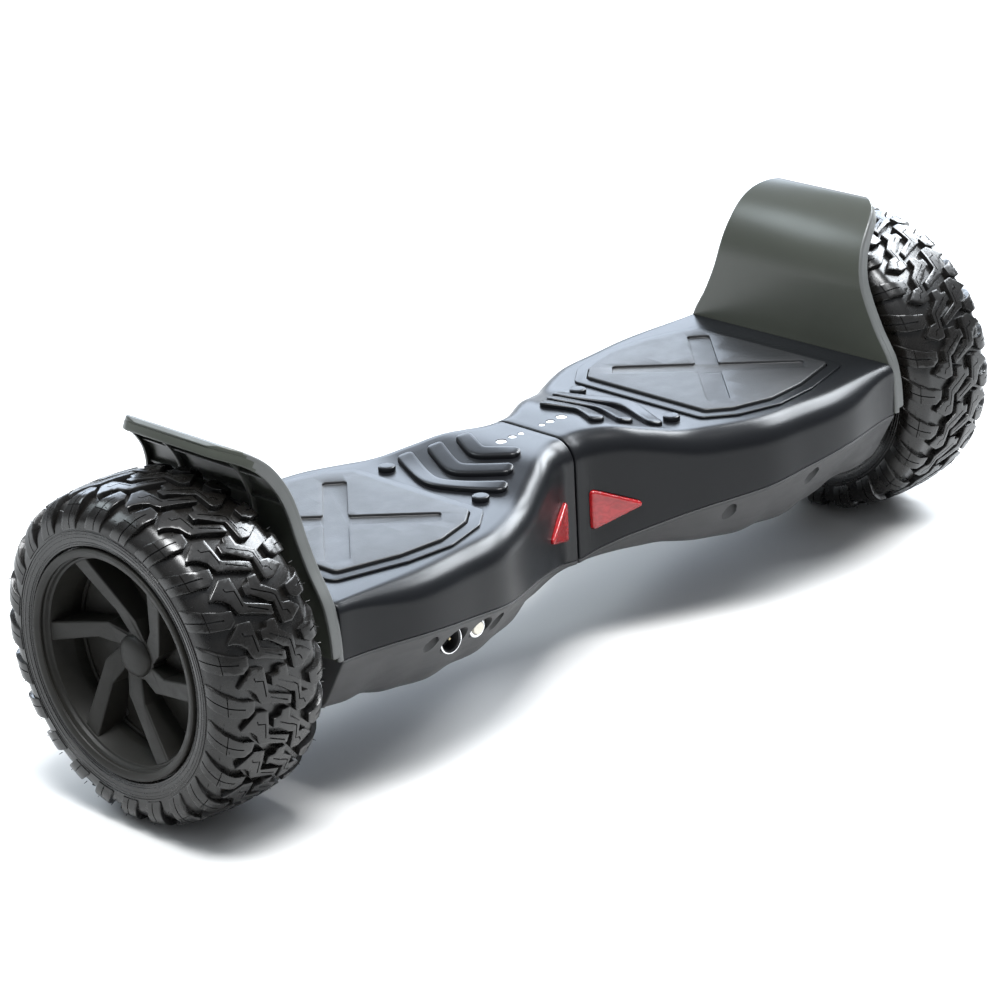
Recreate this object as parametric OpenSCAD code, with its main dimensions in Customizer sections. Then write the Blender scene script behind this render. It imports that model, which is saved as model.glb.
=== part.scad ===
// Self balancing hoverboard: two foot platforms that twist on a common pivot, a hub motor wheel at each end.
// X runs along the axles, -Y is the rear with the charging socket, Z is up, and the tyres stand on Z = 0.

/* [Wheels] */
// Outside diameter of the tyre
tyre_d = 216; // [212:1:220]
// Width of the tyre
tyre_w = 84; // [82:1:85]
// Distance between the two wheels' centre planes
track = 650; // [648:1:660]
// Number of dog-leg spokes in a wheel cover
spokes = 6; // [5:1:8]

/* [Body] */
// Gap between the two halves at the middle
seam_gap = 1.5; // [1:0.1:3]
// Half length of the shells, out to the fender plate
shell_end = 265; // [262:1:266]
// Height of the foot deck
deck_z = 138.5; // [138:0.5:139.5]
// Height of the narrow waist at the seam
waist_z = 149.5; // [147:0.5:151]
// Half depth of the waist at the seam
waist_y = 40; // [38:1:42]
// Largest half depth of a shell
wide_y = 105; // [103:1:107]
// Wall thickness of the shells
wall = 3; // [2.5:0.1:3.2]
// Radius of the edge between deck and side
edge_r = 17; // [15:0.5:18]

/* [Foot mats] */
// Height of the mat's upper face
mat_z = 142; // [141.5:0.1:142.5]
// Thickness of the mat
mat_t = 6.5; // [6:0.1:6.6]
// How far a mat sinks under a foot
mat_travel = 1.5; // [1:0.1:1.5]
// Depth of the cross pressed into the mat
cross_depth = 1.8; // [0.8:0.1:2.5]

/* [Fenders] */
// Thickness of the fender plate
fender_t = 4.5; // [3.5:0.1:5]
// Radius of the fender's outward curl
fender_r = 59; // [57:1:60]
// Angle that the fender curls through
fender_sweep = 72; // [60:1:74]

/* [Pivot] */
// Radius of the pivot tube that joins the halves
pivot_r = 16; // [15:0.5:16.5]
// Largest twist of one half against the other, in degrees
twist = 12; // [8:1:12]

/* [Motors] */
// Radius of the air gap side of the stator
stator_r = 55; // [54:0.1:55]
// Number of stator teeth
stator_teeth = 18; // [12:3:24]
// Number of magnets
magnet_count = 30; // [24:2:30]
// Balls in one bearing
ball_count = 8; // [7:1:8]

/* [Hidden] */
$fn = 64;

// Clearances: parts that are pressed or bolted together, and parts that run
fixed_gap = 0.1;
running_gap = 0.06;
axle_z = tyre_d / 2;
tyre_r = tyre_d / 2;
wheel_x = track / 2;
half_w = tyre_w / 2;

// Body lines, each a list of [distance from the seam, value], joined by a smooth curve
depth_line = [[0, waist_y], [16, waist_y + 2], [45, 58], [120, 97], [160, 103],
              [205, wide_y], [shell_end, 95]];
top_line = [[0, waist_z], [36, waist_z], [58, 144.5], [80, deck_z + 0.8],
            [100, deck_z], [shell_end, deck_z]];
split_line = [[0, 66], [40, 76.5], [90, 88], [180, 99.5], [215, 102.5], [shell_end, 102]];
bottom_line = [[0, 61], [50, 59], [85, 54], [115, 48.5], [195, 46.5], [235, 58], [shell_end, 60]];
belly_line = [[0, 34], [40, 43], [70, 54], [110, 65], [180, 69], [215, 66], [240, 76], [shell_end, 72]];
fender_line = [[103, 96.5], [137, 92], [160, 79], [185, 68], [212, 61.5], [229, 58], [245, 50]];
edge_line = [[0, edge_r], [200, edge_r], [shell_end, 7]];
stations = [0, 10, 20, 30, 38, 48, 58, 70, 85, 100, 120, 140, 165, 190, 212, 230, 248, shell_end];

// Foot pad outline, anticlockwise, and the steps around it
pad_corners = [[113, 54], [113, -54], [128, -66], [158, -74.5], [192, -72], [235, -60],
               [235, 60], [192, 72], [158, 74.5], [128, 66]];
pad_gap = 1;
land_end = 9;
land_h = 1.5;
tray_t = 2;
tray_z = mat_z - mat_t - mat_travel - 0.3;
cross_w = 16;
cross_x = 178;
cross_reach = [90, 98];
plungers = [[150, 42], [150, -42], [208, 42], [208, -42]];
plunger_r = 4;

// Raised grip ribs: [x of the ends, half span, x of the crown], and the round stud beside the pad
ribs = [[40, 22, 48.5], [57, 32, 69.5], [74, 43, 89.5]];
rib_w = 5.5;
rib_h = 3.5;
rib_sink = 2.2;
stud_at = [91.5, 43];
stud_r = 5.8;
stud_top = 142;

// Status lights: [distance from the seam, radius]
lights = [[28.7, 3.7], [18.1, 2.8], [10, 2]];
light_y = -1;
light_t = 3.6;

// Triangular lamps in the waist's sides
lamp_corners = [[11.5, 83], [11.5, 113], [47, 97]];
lamp_round = 2.5;
lamp_proud = 3;
lamp_t = 6;

// Screw wells in the lower shell's slope, as distance from the seam, and their place against the body lines
left_wells = [131, 194];
right_wells = [104, 173];
well_r = 4.8;
well_wall = 1.6;
well_inset = 8;
well_depth = 4;
well_floor_t = 2.5;
screw_r = 2;
screw_l = 20;

// Charging socket and power switch in the left half's rear slope, as [x, z]
socket_at = [-170.6, 82];
switch_at = [-146.5, 82];
socket_r = 8;
socket_bore = 6.6;
socket_face = -91.5;
socket_pocket_r = 10.6;
contact_ring = 3.2;
switch_r = 6;
switch_face = -90.5;
switch_pocket_r = 8.6;
pocket_floor = -88;
pocket_wall = 1.8;
button_r = 4.6;
button_face = -92.2;

// Frame
plate_z = 120;
plate_t = 6;
plate_corners = [[26, 24], [60, 44], [120, 58], [254, 58], [254, -58], [120, -58], [60, -44], [26, -24]];
boss_r = 26;
boss_end = 62;
rail_x = [125, 250];
rail_low = 96;
clamp_x = [208, 254];
clamp_bolts = [[215, 14], [247, 14]];
flat_half = 6;
axle_r = 8;
opening_r = 14;
bush_r = pivot_r + 2;
clamp_h = 18;
clamp_bolt_r = 2.5;
stop_x = 31;
stop_r = 3;
stop_slot = (boss_r * sin(twist) + stop_r / cos(twist)) + 0.6;

// Hub motor, measured along the axle from the wheel's centre plane, positive outwards
flange_r = 74;
seat_r = 69;
barrel_r = 58.5;
dish_r = 62;
cover_u = 9;
cover_t = 3;
inner_u = -38;
journal_r = 7.5;
shoulder_r = 10;
bearing_or = 16;
bearing_w = 9;
ball_r = 2.6;
ball_ring = (journal_r + bearing_or) / 2;
bearings_u = [-39, 2];
shoulder_u = bearings_u[0] + bearing_w;
journal_start = shell_end - 5;
stator_u = [-26, 0];
cap_r = 13.6;
cap_h = 5;
hub_h = 10;
spoke_h = 22;
ledge_r = 66;
spoke_corners = [[0, 12], [19.6, 18.4], [68, 8.5], [68, -4.5], [29.6, 6.9], [13.6, 5], [4, 0]];

// ---- curves and outlines ----
function span(x, line, i = 0) = (i >= len(line) - 2 || x < line[i + 1][0]) ? i : span(x, line, i + 1);
function slope(line, i) = (i == 0 || i == len(line) - 1) ? 0
    : (line[i + 1][1] - line[i - 1][1]) / (line[i + 1][0] - line[i - 1][0]);
function curve(x, line) =
    let (i = span(x, line), dx = line[i + 1][0] - line[i][0], s = (x - line[i][0]) / dx)
    line[i][1] * (2 * s * s * s - 3 * s * s + 1) + slope(line, i) * dx * (s * s * s - 2 * s * s + s)
    + line[i + 1][1] * (3 * s * s - 2 * s * s * s) + slope(line, i + 1) * dx * (s * s * s - s * s);
function reversed(v) = [for (i = [len(v) - 1 : -1 : 0]) v[i]];
function unit(v) = v / norm(v);
function corner_half(a, b) = acos(a * b) / 2;
function grow(corners, by) = [for (i = [0 : len(corners) - 1])
    let (n = len(corners), p = corners[i], a = unit(corners[(i + n - 1) % n] - p),
         b = unit(corners[(i + 1) % n] - p))
    p - unit(a + b) * by / sin(corner_half(a, b))];
function arc(c, r, from, to, steps) =
    [for (k = [0 : steps]) let (a = from + (to - from) * k / steps) c + r * [cos(a), sin(a)]];
function arc_turn(d) = d > 180 ? d - 360 : (d < -180 ? d + 360 : d);
function rounded(corners, r, steps = 4) = [for (i = [0 : len(corners) - 1])
    let (n = len(corners), p = corners[i], a = unit(corners[(i + n - 1) % n] - p),
         b = unit(corners[(i + 1) % n] - p), h = corner_half(a, b), c = p + unit(a + b) * r / sin(h),
         from = p + a * r / tan(h) - c, to = p + b * r / tan(h) - c,
         start = atan2(from[1], from[0]), turn = arc_turn(atan2(to[1], to[0]) - start))
    each arc(c, r, start, start + turn, steps)];

// ---- placing ----
module right() children();
module left() mirror([1, 0, 0]) children();
module front_and_rear() {
    children();
    mirror([0, 1, 0]) children();
}
module along_x(x = 0) translate([x, 0, axle_z]) rotate([0, 90, 0]) children();
module on_wheel(u = 0) along_x(wheel_x + u) children();
module around(count) for (i = [1 : count]) rotate(i * 360 / count) children();
module into_rear(at, y) translate([at[0], y, at[1]]) rotate([-90, 0, 0]) children();
module extrude_x(from, to) translate([from, 0, 0]) rotate([90, 0, 90]) linear_extrude(to - from) children();
module extrude_y(from, to) translate([0, to, 0]) rotate([90, 0, 0]) linear_extrude(to - from) children();

// ---- body surface: one ring of [y, z] points at each station ----
function held(x, ends) = min(max(x, seam_gap / 2 + ends), shell_end - ends);
function top_ring(x, inset, drop) =
    let (y = curve(x, depth_line) - inset, z = curve(x, top_line) - inset,
         r = max(curve(x, edge_line) - inset, 3), low = curve(x, split_line) - drop,
         edge = [for (a = [0 : 18 : 90]) [y - r + r * cos(a), z - r + r * sin(a)]])
    concat([[-y, low]], [for (p = edge) [-p[0], p[1]]], reversed(edge), [[y, low]]);
function bottom_ring(x, inset, rise) =
    let (y = curve(x, depth_line) - 1.25 * inset, split = curve(x, split_line),
         keel = [curve(x, belly_line) - 0.6 * inset, curve(x, bottom_line) + inset],
         lip = [y - 1, split - 3], turn = lip + 0.7 * (keel - lip), flat = keel - [14, 0],
         edge = [for (t = [0 : 1 / 3 : 1]) (1 - t) * (1 - t) * turn + 2 * t * (1 - t) * keel + t * t * flat])
    concat([[-y, split + rise], [y, split + rise], lip], edge,
           [for (p = reversed(edge)) [-p[0], p[1]]], [[-lip[0], lip[1]]]);
module skin(rings, xs) {
    n = len(rings[0]);
    last = len(xs) - 1;
    walls = [for (i = [0 : last - 1]) for (j = [0 : n - 1])
        let (a = i * n + j, b = i * n + (j + 1) % n)
        each [[a, b, b + n], [a, b + n, a + n]]];
    near_cap = [for (j = [n - 1 : -1 : 0]) j];
    far_cap = [for (j = [0 : n - 1]) last * n + j];
    points = [for (i = [0 : last]) for (p = rings[i]) [xs[i], p[0], p[1]]];
    polyhedron(points, concat(walls, [near_cap, far_cap]));
}
module top_body(inset = 0, ends = 0, drop = 0) {
    xs = [for (x = stations) held(x, ends)];
    skin([for (x = xs) top_ring(x, inset, drop)], xs);
}
module bottom_body(inset = 0, ends = 0, rise = 0) {
    xs = [for (x = stations) held(x, ends)];
    skin([for (x = xs) bottom_ring(x, inset, rise)], xs);
}
module at_wells(wells)
    for (x = wells) front_and_rear()
        translate([x, curve(x, depth_line) - well_inset, curve(x, split_line) - well_depth]) children();

// ---- shells and what sits in them ----
module pad_prism(by, from, to)
    translate([0, 0, from]) linear_extrude(to - from) polygon(rounded(grow(pad_corners, by), 5));
module lamp_prism(by, reach = 70)
    extrude_y(-reach, -20) polygon(rounded(grow(lamp_corners, by), lamp_round));
// Half span and crown rise give the arc; the band has round ends
module rib(r) {
    rise = r[2] - r[0];
    bend_r = (r[1] * r[1] + rise * rise) / (2 * rise);
    sweep = asin(r[1] / bend_r);
    end_z = curve(r[0], top_line);
    tilt = atan2(end_z - curve(r[2], top_line), rise);
    translate([r[0], 0, end_z]) rotate([0, tilt, 0]) translate([rise - bend_r, 0, -rib_sink])
        linear_extrude(rib_sink + rib_h) polygon(concat(
            arc([0, 0], bend_r + rib_w, -sweep, sweep, 8),
            arc(bend_r * [cos(sweep), sin(sweep)], rib_w, sweep + 36, sweep + 144, 3),
            arc([0, 0], bend_r - rib_w, sweep, -sweep, 8),
            arc(bend_r * [cos(sweep), -sin(sweep)], rib_w, 216 - sweep, 324 - sweep, 3)));
}
module stud()
    translate([stud_at[0], stud_at[1], 0]) rotate_extrude()
        polygon([[0, deck_z - 2], [stud_r, deck_z - 2], [stud_r, stud_top - 1.5],
                 [stud_r - 1.5, stud_top], [0, stud_top]]);
module screw_post() {
    cylinder(r = 4.5, h = 24);
    translate([-2, 0, 0]) cube([4, well_inset - 1, 24]);
}
module top_shell(wells)
    color([0.06, 0.065, 0.075]) difference() {
        union() {
            difference() {
                top_body();
                top_body(wall, wall, 12);
            }
            pad_prism(pad_gap + tray_t, tray_z - tray_t, deck_z - 1.7);
            at_wells(wells) translate([0, 0, well_depth + 1.5]) screw_post();
            pad_prism(land_end, deck_z - 1.5, deck_z + land_h);
            for (r = ribs) rib(r);
            front_and_rear() stud();
        }
        pad_prism(pad_gap, tray_z, deck_z + 10);
        for (p = plungers) translate([p[0], p[1], tray_z - 5]) cylinder(r = plunger_r + 1, h = 10);
        for (l = lights) translate([l[0], light_y, waist_z - 6]) cylinder(r = l[1] + fixed_gap, h = 10);
        front_and_rear() lamp_prism(0.25);
        at_wells(wells) cylinder(r = screw_r + fixed_gap, h = screw_l + 3);
        along_x(-5) cylinder(r = boss_r + 1, h = 20);
        along_x(shell_end - 10) cylinder(r = opening_r, h = 20);
    }
module rear_pocket(at, r)
    into_rear(at, pocket_floor - 30) cylinder(r = r, h = 30);
module pocket_cup(at, r)
    into_rear(at, pocket_floor - 30) cylinder(r = r + pocket_wall, h = 30 + well_floor_t);
module bottom_shell(wells, ports = false)
    color([0.27, 0.28, 0.30]) difference() {
        union() {
            difference() {
                bottom_body();
                bottom_body(wall, wall, 12);
            }
            intersection() {
                bottom_body(1, 1);
                union() {
                    at_wells(wells) translate([0, 0, well_floor_t - 30])
                        cylinder(r = well_r + well_wall, h = 30);
                    if (ports) mirror([1, 0, 0]) {
                        pocket_cup(socket_at, socket_pocket_r);
                        pocket_cup(switch_at, switch_pocket_r);
                    }
                }
            }
        }
        at_wells(wells) {
            translate([0, 0, -60]) cylinder(r = well_r, h = 60);
            cylinder(r = screw_r + fixed_gap, h = 10);
        }
        if (ports) mirror([1, 0, 0]) {
            rear_pocket(socket_at, socket_pocket_r);
            rear_pocket(switch_at, switch_pocket_r);
            into_rear(socket_at, pocket_floor - 1) cylinder(r = socket_r + fixed_gap, h = 10);
            into_rear(switch_at, pocket_floor - 1) cylinder(r = switch_r + fixed_gap, h = 10);
        }
        along_x(shell_end - 10) cylinder(r = opening_r, h = 20);
    }
module screws(wells)
    color("silver") {
        at_wells(wells) {
            cylinder(r = screw_r, h = screw_l);
            translate([0, 0, -2.5]) cylinder(r = 2 * screw_r, h = 2.5);
        }
        for (b = clamp_bolts) front_and_rear() translate([b[0], b[1], axle_z - clamp_h - 4]) {
            cylinder(r = 4.2, h = 4);
            cylinder(r = clamp_bolt_r, h = clamp_h + 11);
        }
    }
module lamp(tint)
    color(tint) intersection() {
        lamp_prism(0);
        difference() {
            top_body(-lamp_proud);
            top_body(lamp_t - lamp_proud);
        }
    }
module tail_lamp() lamp([0.85, 0.05, 0.06]);
module head_lamp() mirror([0, 1, 0]) lamp([0.9, 0.92, 0.95]);
module status_lights()
    color("white") for (l = lights)
        translate([l[0], light_y, waist_z + 0.2 - light_t]) cylinder(r = l[1], h = light_t);
module foot_mat()
    color([0.05, 0.05, 0.055]) {
        difference() {
            pad_prism(0, mat_z - mat_t, mat_z);
            for (s = [-1, 1])
                translate([cross_x, 0, mat_z]) rotate([0, 0, s * atan2(cross_reach[1], cross_reach[0])])
                    cube([norm(cross_reach), cross_w, 2 * cross_depth], center = true);
        }
        for (p = plungers) translate([p[0], p[1], tray_z - 0.8])
            cylinder(r = plunger_r, h = mat_z - mat_t - tray_z + 1.3);
    }

// ---- fender ----
module fender_profile(t) {
    curl = [shell_end + fender_r, 185];
    inner = [for (a = [0 : 6 : fender_sweep]) curl + fender_r * [-cos(a), sin(a)]];
    outer = [for (a = [0 : 6 : fender_sweep]) curl + (fender_r - t) * [-cos(a), sin(a)]];
    polygon(concat([[shell_end, 103]], inner, reversed(outer), [[shell_end + t, 103]]));
}
module fender()
    color([0.27, 0.28, 0.26]) difference() {
        intersection() {
            union() {
                extrude_y(-100, 100) fender_profile(fender_t);
                for (y = [-32, 29]) extrude_y(y, y + 3) fender_profile(fender_t + 3.5);
            }
            extrude_x(shell_end - 5, shell_end + 60)
                polygon(concat([for (z = [103 : 8 : 239]) [curve(z, fender_line), z]],
                               [[44, 245], [-44, 245]],
                               [for (z = [239 : -8 : 103]) [-curve(z, fender_line), z]]));
        }
        along_x(shell_end - 5) cylinder(r = opening_r, h = 20);
    }

// ---- frame, pivot and electrics ----
module up_to_plate(x, y, width, low)
    translate([x[0], y, low]) cube([x[1] - x[0], width, plate_z + 1 - low]);
module frame_blank() {
    translate([0, 0, plate_z]) linear_extrude(plate_t) polygon(plate_corners);
    along_x(1) cylinder(r = boss_r, h = boss_end - 1);
    front_and_rear() up_to_plate(rail_x, 50, 6, rail_low);
    up_to_plate(clamp_x, -20, 40, axle_z - flat_half);
}
module frame_cuts(bore_r) {
    along_x(-5) cylinder(r = bore_r, h = boss_end + 10);
    translate([clamp_x[0] - 5, -axle_r - fixed_gap, axle_z - 20])
        cube([clamp_x[1] - clamp_x[0] + 15, 2 * (axle_r + fixed_gap), 20 + flat_half]);
    for (b = clamp_bolts) front_and_rear() translate([b[0], b[1], axle_z - 20])
        cylinder(r = clamp_bolt_r + fixed_gap, h = 28);
}
module tube_frame()
    color("gray") difference() {
        frame_blank();
        frame_cuts(pivot_r + fixed_gap);
    }
module bush_frame()
    color("gray") difference() {
        frame_blank();
        frame_cuts(bush_r + fixed_gap);
        translate([stop_x - stop_r - 1, -stop_slot, axle_z])
            cube([2 * stop_r + 2, 2 * stop_slot, boss_r + 5]);
    }
module axle()
    color("silver") {
        intersection() {
            along_x(clamp_x[0] - 2) cylinder(r = axle_r, h = shell_end - clamp_x[0]);
            translate([0, -axle_r, axle_z - flat_half]) cube([shell_end, 2 * axle_r, 2 * flat_half]);
        }
        along_x(journal_start)
            cylinder(r = journal_r, h = wheel_x + bearings_u[1] + bearing_w - journal_start);
        on_wheel(shoulder_u) cylinder(r = shoulder_r, h = bearings_u[1] - shoulder_u);
    }
module axle_clamp()
    color("dimgray") difference() {
        translate([clamp_x[0], -20, axle_z - clamp_h])
            cube([clamp_x[1] - clamp_x[0], 40, clamp_h - flat_half]);
        for (b = clamp_bolts) front_and_rear() translate([b[0], b[1], axle_z - 30])
            cylinder(r = clamp_bolt_r + fixed_gap, h = 30);
    }
module gyro_board()
    color("darkgreen") {
        translate([135, -50, plate_z + plate_t + 1]) cube([90, 100, 1.6]);
        for (x = [140, 220]) front_and_rear() translate([x, 46, plate_z + plate_t]) cylinder(r = 3, h = 1.5);
        for (p = plungers) translate([p[0] - 5, p[1] - 4, plate_z + plate_t + 2]) cube([10, 8, 2.8]);
    }
module pivot_tube()
    color("silver") difference() {
        along_x(2 - boss_end) cylinder(r = pivot_r, h = 2 * boss_end - 4);
        along_x(-boss_end) cylinder(r = pivot_r - 3, h = 2 * boss_end);
        translate([stop_x, 0, axle_z]) cylinder(r = stop_r + fixed_gap, h = 30);
    }
module pivot_bushes()
    color("tan") for (x = [4, 38]) along_x(x) difference() {
        cylinder(r = bush_r, h = 20);
        translate([0, 0, -1]) cylinder(r = pivot_r + running_gap, h = 22);
    }
module twist_stop_pin()
    color("dimgray") translate([stop_x, 0, axle_z + pivot_r - 3]) cylinder(r = stop_r, h = 11.5);
module battery_pack()
    color("royalblue") left() extrude_x(88, 200)
        polygon(rounded([[-44, 60], [44, 60], [44, 93], [-44, 93]], 6));
module main_board()
    color("darkgreen") {
        translate([96, -40, 62]) cube([98, 80, 1.6]);
        translate([104, -34, 63]) cube([60, 22, 18]);
        for (y = [0, 14, 28]) translate([176, y, 63]) cylinder(r = 6, h = 22);
        translate([110, 0, 63]) cube([30, 24, 6]);
    }
module charge_socket()
    color("silver") difference() {
        union() {
            into_rear(socket_at, socket_face) cylinder(r = socket_r + 1.4, h = pocket_floor - socket_face);
            into_rear(socket_at, socket_face) cylinder(r = socket_r, h = 20);
        }
        into_rear(socket_at, socket_face - 1) cylinder(r = socket_bore, h = 17);
    }
module charge_insert()
    color([0.05, 0.05, 0.05]) difference() {
        into_rear(socket_at, socket_face + 7.5) cylinder(r = socket_bore - fixed_gap, h = 8.5);
        at_contacts(socket_face + 7) cylinder(r = 0.85, h = 5.6);
    }
module at_contacts(y)
    for (a = [90, 210, 330])
        into_rear(socket_at + contact_ring * [cos(a), sin(a)], y) children();
module charge_contacts()
    color("gold") at_contacts(socket_face + 4.5) cylinder(r = 0.8, h = 8);
module power_switch()
    color("silver") difference() {
        union() {
            into_rear(switch_at, switch_face) cylinder(r = switch_r + 1, h = pocket_floor - switch_face);
            into_rear(switch_at, switch_face) cylinder(r = switch_r, h = 15);
        }
        into_rear(switch_at, switch_face - 1) cylinder(r = button_r + 0.15, h = 8);
    }
module power_button()
    color("ivory") into_rear(switch_at, button_face) cylinder(r = button_r, h = 5.8);

// ---- hub motor ----
module stator()
    color("dimgray") on_wheel(stator_u[0]) linear_extrude(stator_u[1] - stator_u[0]) difference() {
        circle(stator_r);
        circle(shoulder_r + fixed_gap);
        around(stator_teeth) translate([28, -2.5]) square([24, 5]);
    }
module windings()
    color("chocolate") {
        on_wheel(stator_u[0] - 1) around(stator_teeth)
            translate([29, -2.2, 0]) cube([22, 4.4, stator_u[1] - stator_u[0] + 2]);
        for (u = [stator_u[0] - 2.5, stator_u[1] + 0.3]) on_wheel(u) difference() {
            cylinder(r = 51, h = 2.2);
            translate([0, 0, -1]) cylinder(r = 29, h = 5);
        }
    }
module bearing_rings(from, to)
    color("silver") for (u = bearings_u) on_wheel(u) rotate_extrude() difference() {
        translate([from, 0]) square([to - from, bearing_w]);
        translate([ball_ring, bearing_w / 2]) circle(ball_r + running_gap);
    }
module bearing_inner_rings() bearing_rings(journal_r + fixed_gap, ball_ring - 1.5);
module bearing_outer_rings() bearing_rings(ball_ring + 1.5, bearing_or);
module bearing_balls()
    color("silver") for (u = bearings_u) on_wheel(u + bearing_w / 2)
        around(ball_count) translate([ball_ring, 0, 0]) sphere(ball_r);
module tyre() {
    outside = [[seat_r + fixed_gap, half_w - 13], [seat_r + fixed_gap, half_w - 5],
               [flange_r + 0.4, half_w - 5], [flange_r + 1, half_w - 1],
               [tyre_r - 27, half_w], [tyre_r - 17, half_w], [tyre_r - 10, half_w - 2],
               [tyre_r - 4.2, half_w - 7.5], [tyre_r - 1, half_w - 20], [tyre_r, half_w - 32]];
    inside = [[tyre_r - 9, half_w - 32], [tyre_r - 10, half_w - 22], [tyre_r - 14, half_w - 12],
              [tyre_r - 20, half_w - 8.5], [tyre_r - 28, half_w - 9], [flange_r, half_w - 12.5]];
    color([0.04, 0.04, 0.045]) on_wheel() rotate_extrude()
        polygon(concat(outside, [for (p = reversed(outside)) [p[0], -p[1]]],
                       [for (p = reversed(inside)) [p[0], -p[1]]], inside));
}
module rim()
    color([0.13, 0.13, 0.125]) difference() {
        on_wheel() rotate_extrude()
            polygon([[flange_r, half_w], [flange_r - 5, half_w - 1.5], [ledge_r + 1.5, half_w - 7],
                     [ledge_r, half_w - 8], [dish_r, 20], [dish_r, cover_u],
                     [50, cover_u], [50, 6], [barrel_r, 6], [barrel_r, -34], [65.5, -34], [66.5, -half_w],
                     [flange_r, -half_w], [flange_r, 5 - half_w], [seat_r, 5 - half_w],
                     [seat_r, half_w - 5], [flange_r, half_w - 5]]);
        cover_screw_set(fixed_gap, 1);
    }
module magnets()
    color("gray") on_wheel(stator_u[0] - 1) around(magnet_count)
        translate([stator_r + 0.8, -5, 0]) cube([2.3, 10, stator_u[1] - stator_u[0] + 2]);
// Six countersunk screws hold each cover: a larger gap and length give the holes
module cover_screw_set(gap, extra)
    for (i = [0 : 5]) {
        on_wheel(cover_u + cover_t) rotate([0, 180, 0]) cover_screw(56, 60 * i, 6, gap, extra);
        on_wheel(inner_u) cover_screw(62, 60 * i, 14, gap, extra);
    }
module cover_screw(ring_r, turn, length, gap, extra)
    translate([ring_r * sin(turn), ring_r * cos(turn), 0]) {
        translate([0, 0, -extra]) cylinder(r = 3 + gap, h = 2 + extra);
        cylinder(r = 1.6 + gap, h = length + extra);
    }
module cover_screws() color("dimgray") cover_screw_set(0, 0);
module outer_cover()
    color([0.10, 0.10, 0.10]) difference() {
        on_wheel() rotate_extrude()
            polygon([[bearing_or + fixed_gap, 1.2], [21, 1.2], [21, cover_u], [dish_r - 0.2, cover_u],
                     [dish_r - 0.2, cover_u + cover_t], [bearing_or + fixed_gap, cover_u + cover_t]]);
        cover_screw_set(fixed_gap, 1);
    }
module inner_cover()
    color([0.10, 0.10, 0.10]) difference() {
        on_wheel() rotate_extrude()
            polygon([[bearing_or + fixed_gap, inner_u - 1], [bearing_or + fixed_gap, -30], [21, -30],
                     [21, inner_u + 4], [65.3, inner_u + 4], [65.3, inner_u], [21, inner_u],
                     [21, inner_u - 1]]);
        cover_screw_set(fixed_gap, 1);
    }
module spoke_cover()
    color([0.14, 0.14, 0.135]) {
        on_wheel(cover_u + cover_t) difference() {
            cylinder(r = dish_r - 0.4, h = 2);
            translate([0, 0, -1]) cylinder(r = dish_r - 3, h = 4);
        }
        translate([wheel_x + cover_u + cover_t, 0, axle_z]) intersection() {
            rotate([0, 90, 0]) rotate_extrude()
                polygon([[0, 0], [dish_r - 0.4, 0], [dish_r - 0.4, 7.5], [ledge_r - 0.4, spoke_h],
                         [cap_r + 2, hub_h], [0, hub_h]]);
            extrude_x(0, spoke_h) union() {
                circle(cap_r + 2);
                around(spokes) polygon(spoke_corners);
            }
        }
    }
module centre_cap() {
    dome_r = (cap_r * cap_r + cap_h * cap_h) / (2 * cap_h);
    color([0.14, 0.14, 0.135]) on_wheel(cover_u + cover_t + hub_h) intersection() {
        cylinder(r = cap_r, h = cap_h);
        translate([0, 0, cap_h - dome_r]) sphere(dome_r);
    }
}

left() top_shell(left_wells);  // left_top_shell
left() bottom_shell(left_wells, ports = true);  // left_bottom_shell
left() tube_frame();  // left_frame
left() fender();  // left_fender
left() tail_lamp();  // left_tail_lamp
left() head_lamp();  // left_head_lamp
left() status_lights();  // left_status_lights
left() gyro_board();  // left_gyro_board
left() foot_mat();  // left_foot_mat
left() axle();  // left_axle
left() axle_clamp();  // left_axle_clamp
left() screws(left_wells);  // left_screws
left() stator();  // left_stator
left() windings();  // left_windings
left() bearing_inner_rings();  // left_bearing_inner_rings
left() bearing_balls();  // left_bearing_balls
left() bearing_outer_rings();  // left_bearing_outer_rings
left() tyre();  // left_tyre
left() rim();  // left_rim
left() magnets();  // left_magnets
left() inner_cover();  // left_inner_cover
left() outer_cover();  // left_outer_cover
left() spoke_cover();  // left_spoke_cover
left() centre_cap();  // left_centre_cap
left() cover_screws();  // left_cover_screws
right() top_shell(right_wells);  // right_top_shell
right() bottom_shell(right_wells);  // right_bottom_shell
right() bush_frame();  // right_frame
right() fender();  // right_fender
right() tail_lamp();  // right_tail_lamp
right() head_lamp();  // right_head_lamp
right() status_lights();  // right_status_lights
right() gyro_board();  // right_gyro_board
right() foot_mat();  // right_foot_mat
right() axle();  // right_axle
right() axle_clamp();  // right_axle_clamp
right() screws(right_wells);  // right_screws
right() stator();  // right_stator
right() windings();  // right_windings
right() bearing_inner_rings();  // right_bearing_inner_rings
right() bearing_balls();  // right_bearing_balls
right() bearing_outer_rings();  // right_bearing_outer_rings
right() tyre();  // right_tyre
right() rim();  // right_rim
right() magnets();  // right_magnets
right() inner_cover();  // right_inner_cover
right() outer_cover();  // right_outer_cover
right() spoke_cover();  // right_spoke_cover
right() centre_cap();  // right_centre_cap
right() cover_screws();  // right_cover_screws
pivot_tube();
pivot_bushes();
twist_stop_pin();
battery_pack();
main_board();
charge_socket();
charge_insert();
charge_contacts();
power_switch();
power_button();
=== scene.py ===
"""Self balancing hoverboard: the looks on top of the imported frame.

Metres. X runs along the axles, -Y is the rear with the charging socket, Z is up.
Lengths in the tables below are millimetres, and MM turns them into metres.
"""
import math
import random

import bmesh
import bpy
from mathutils import Matrix, Vector


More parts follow.
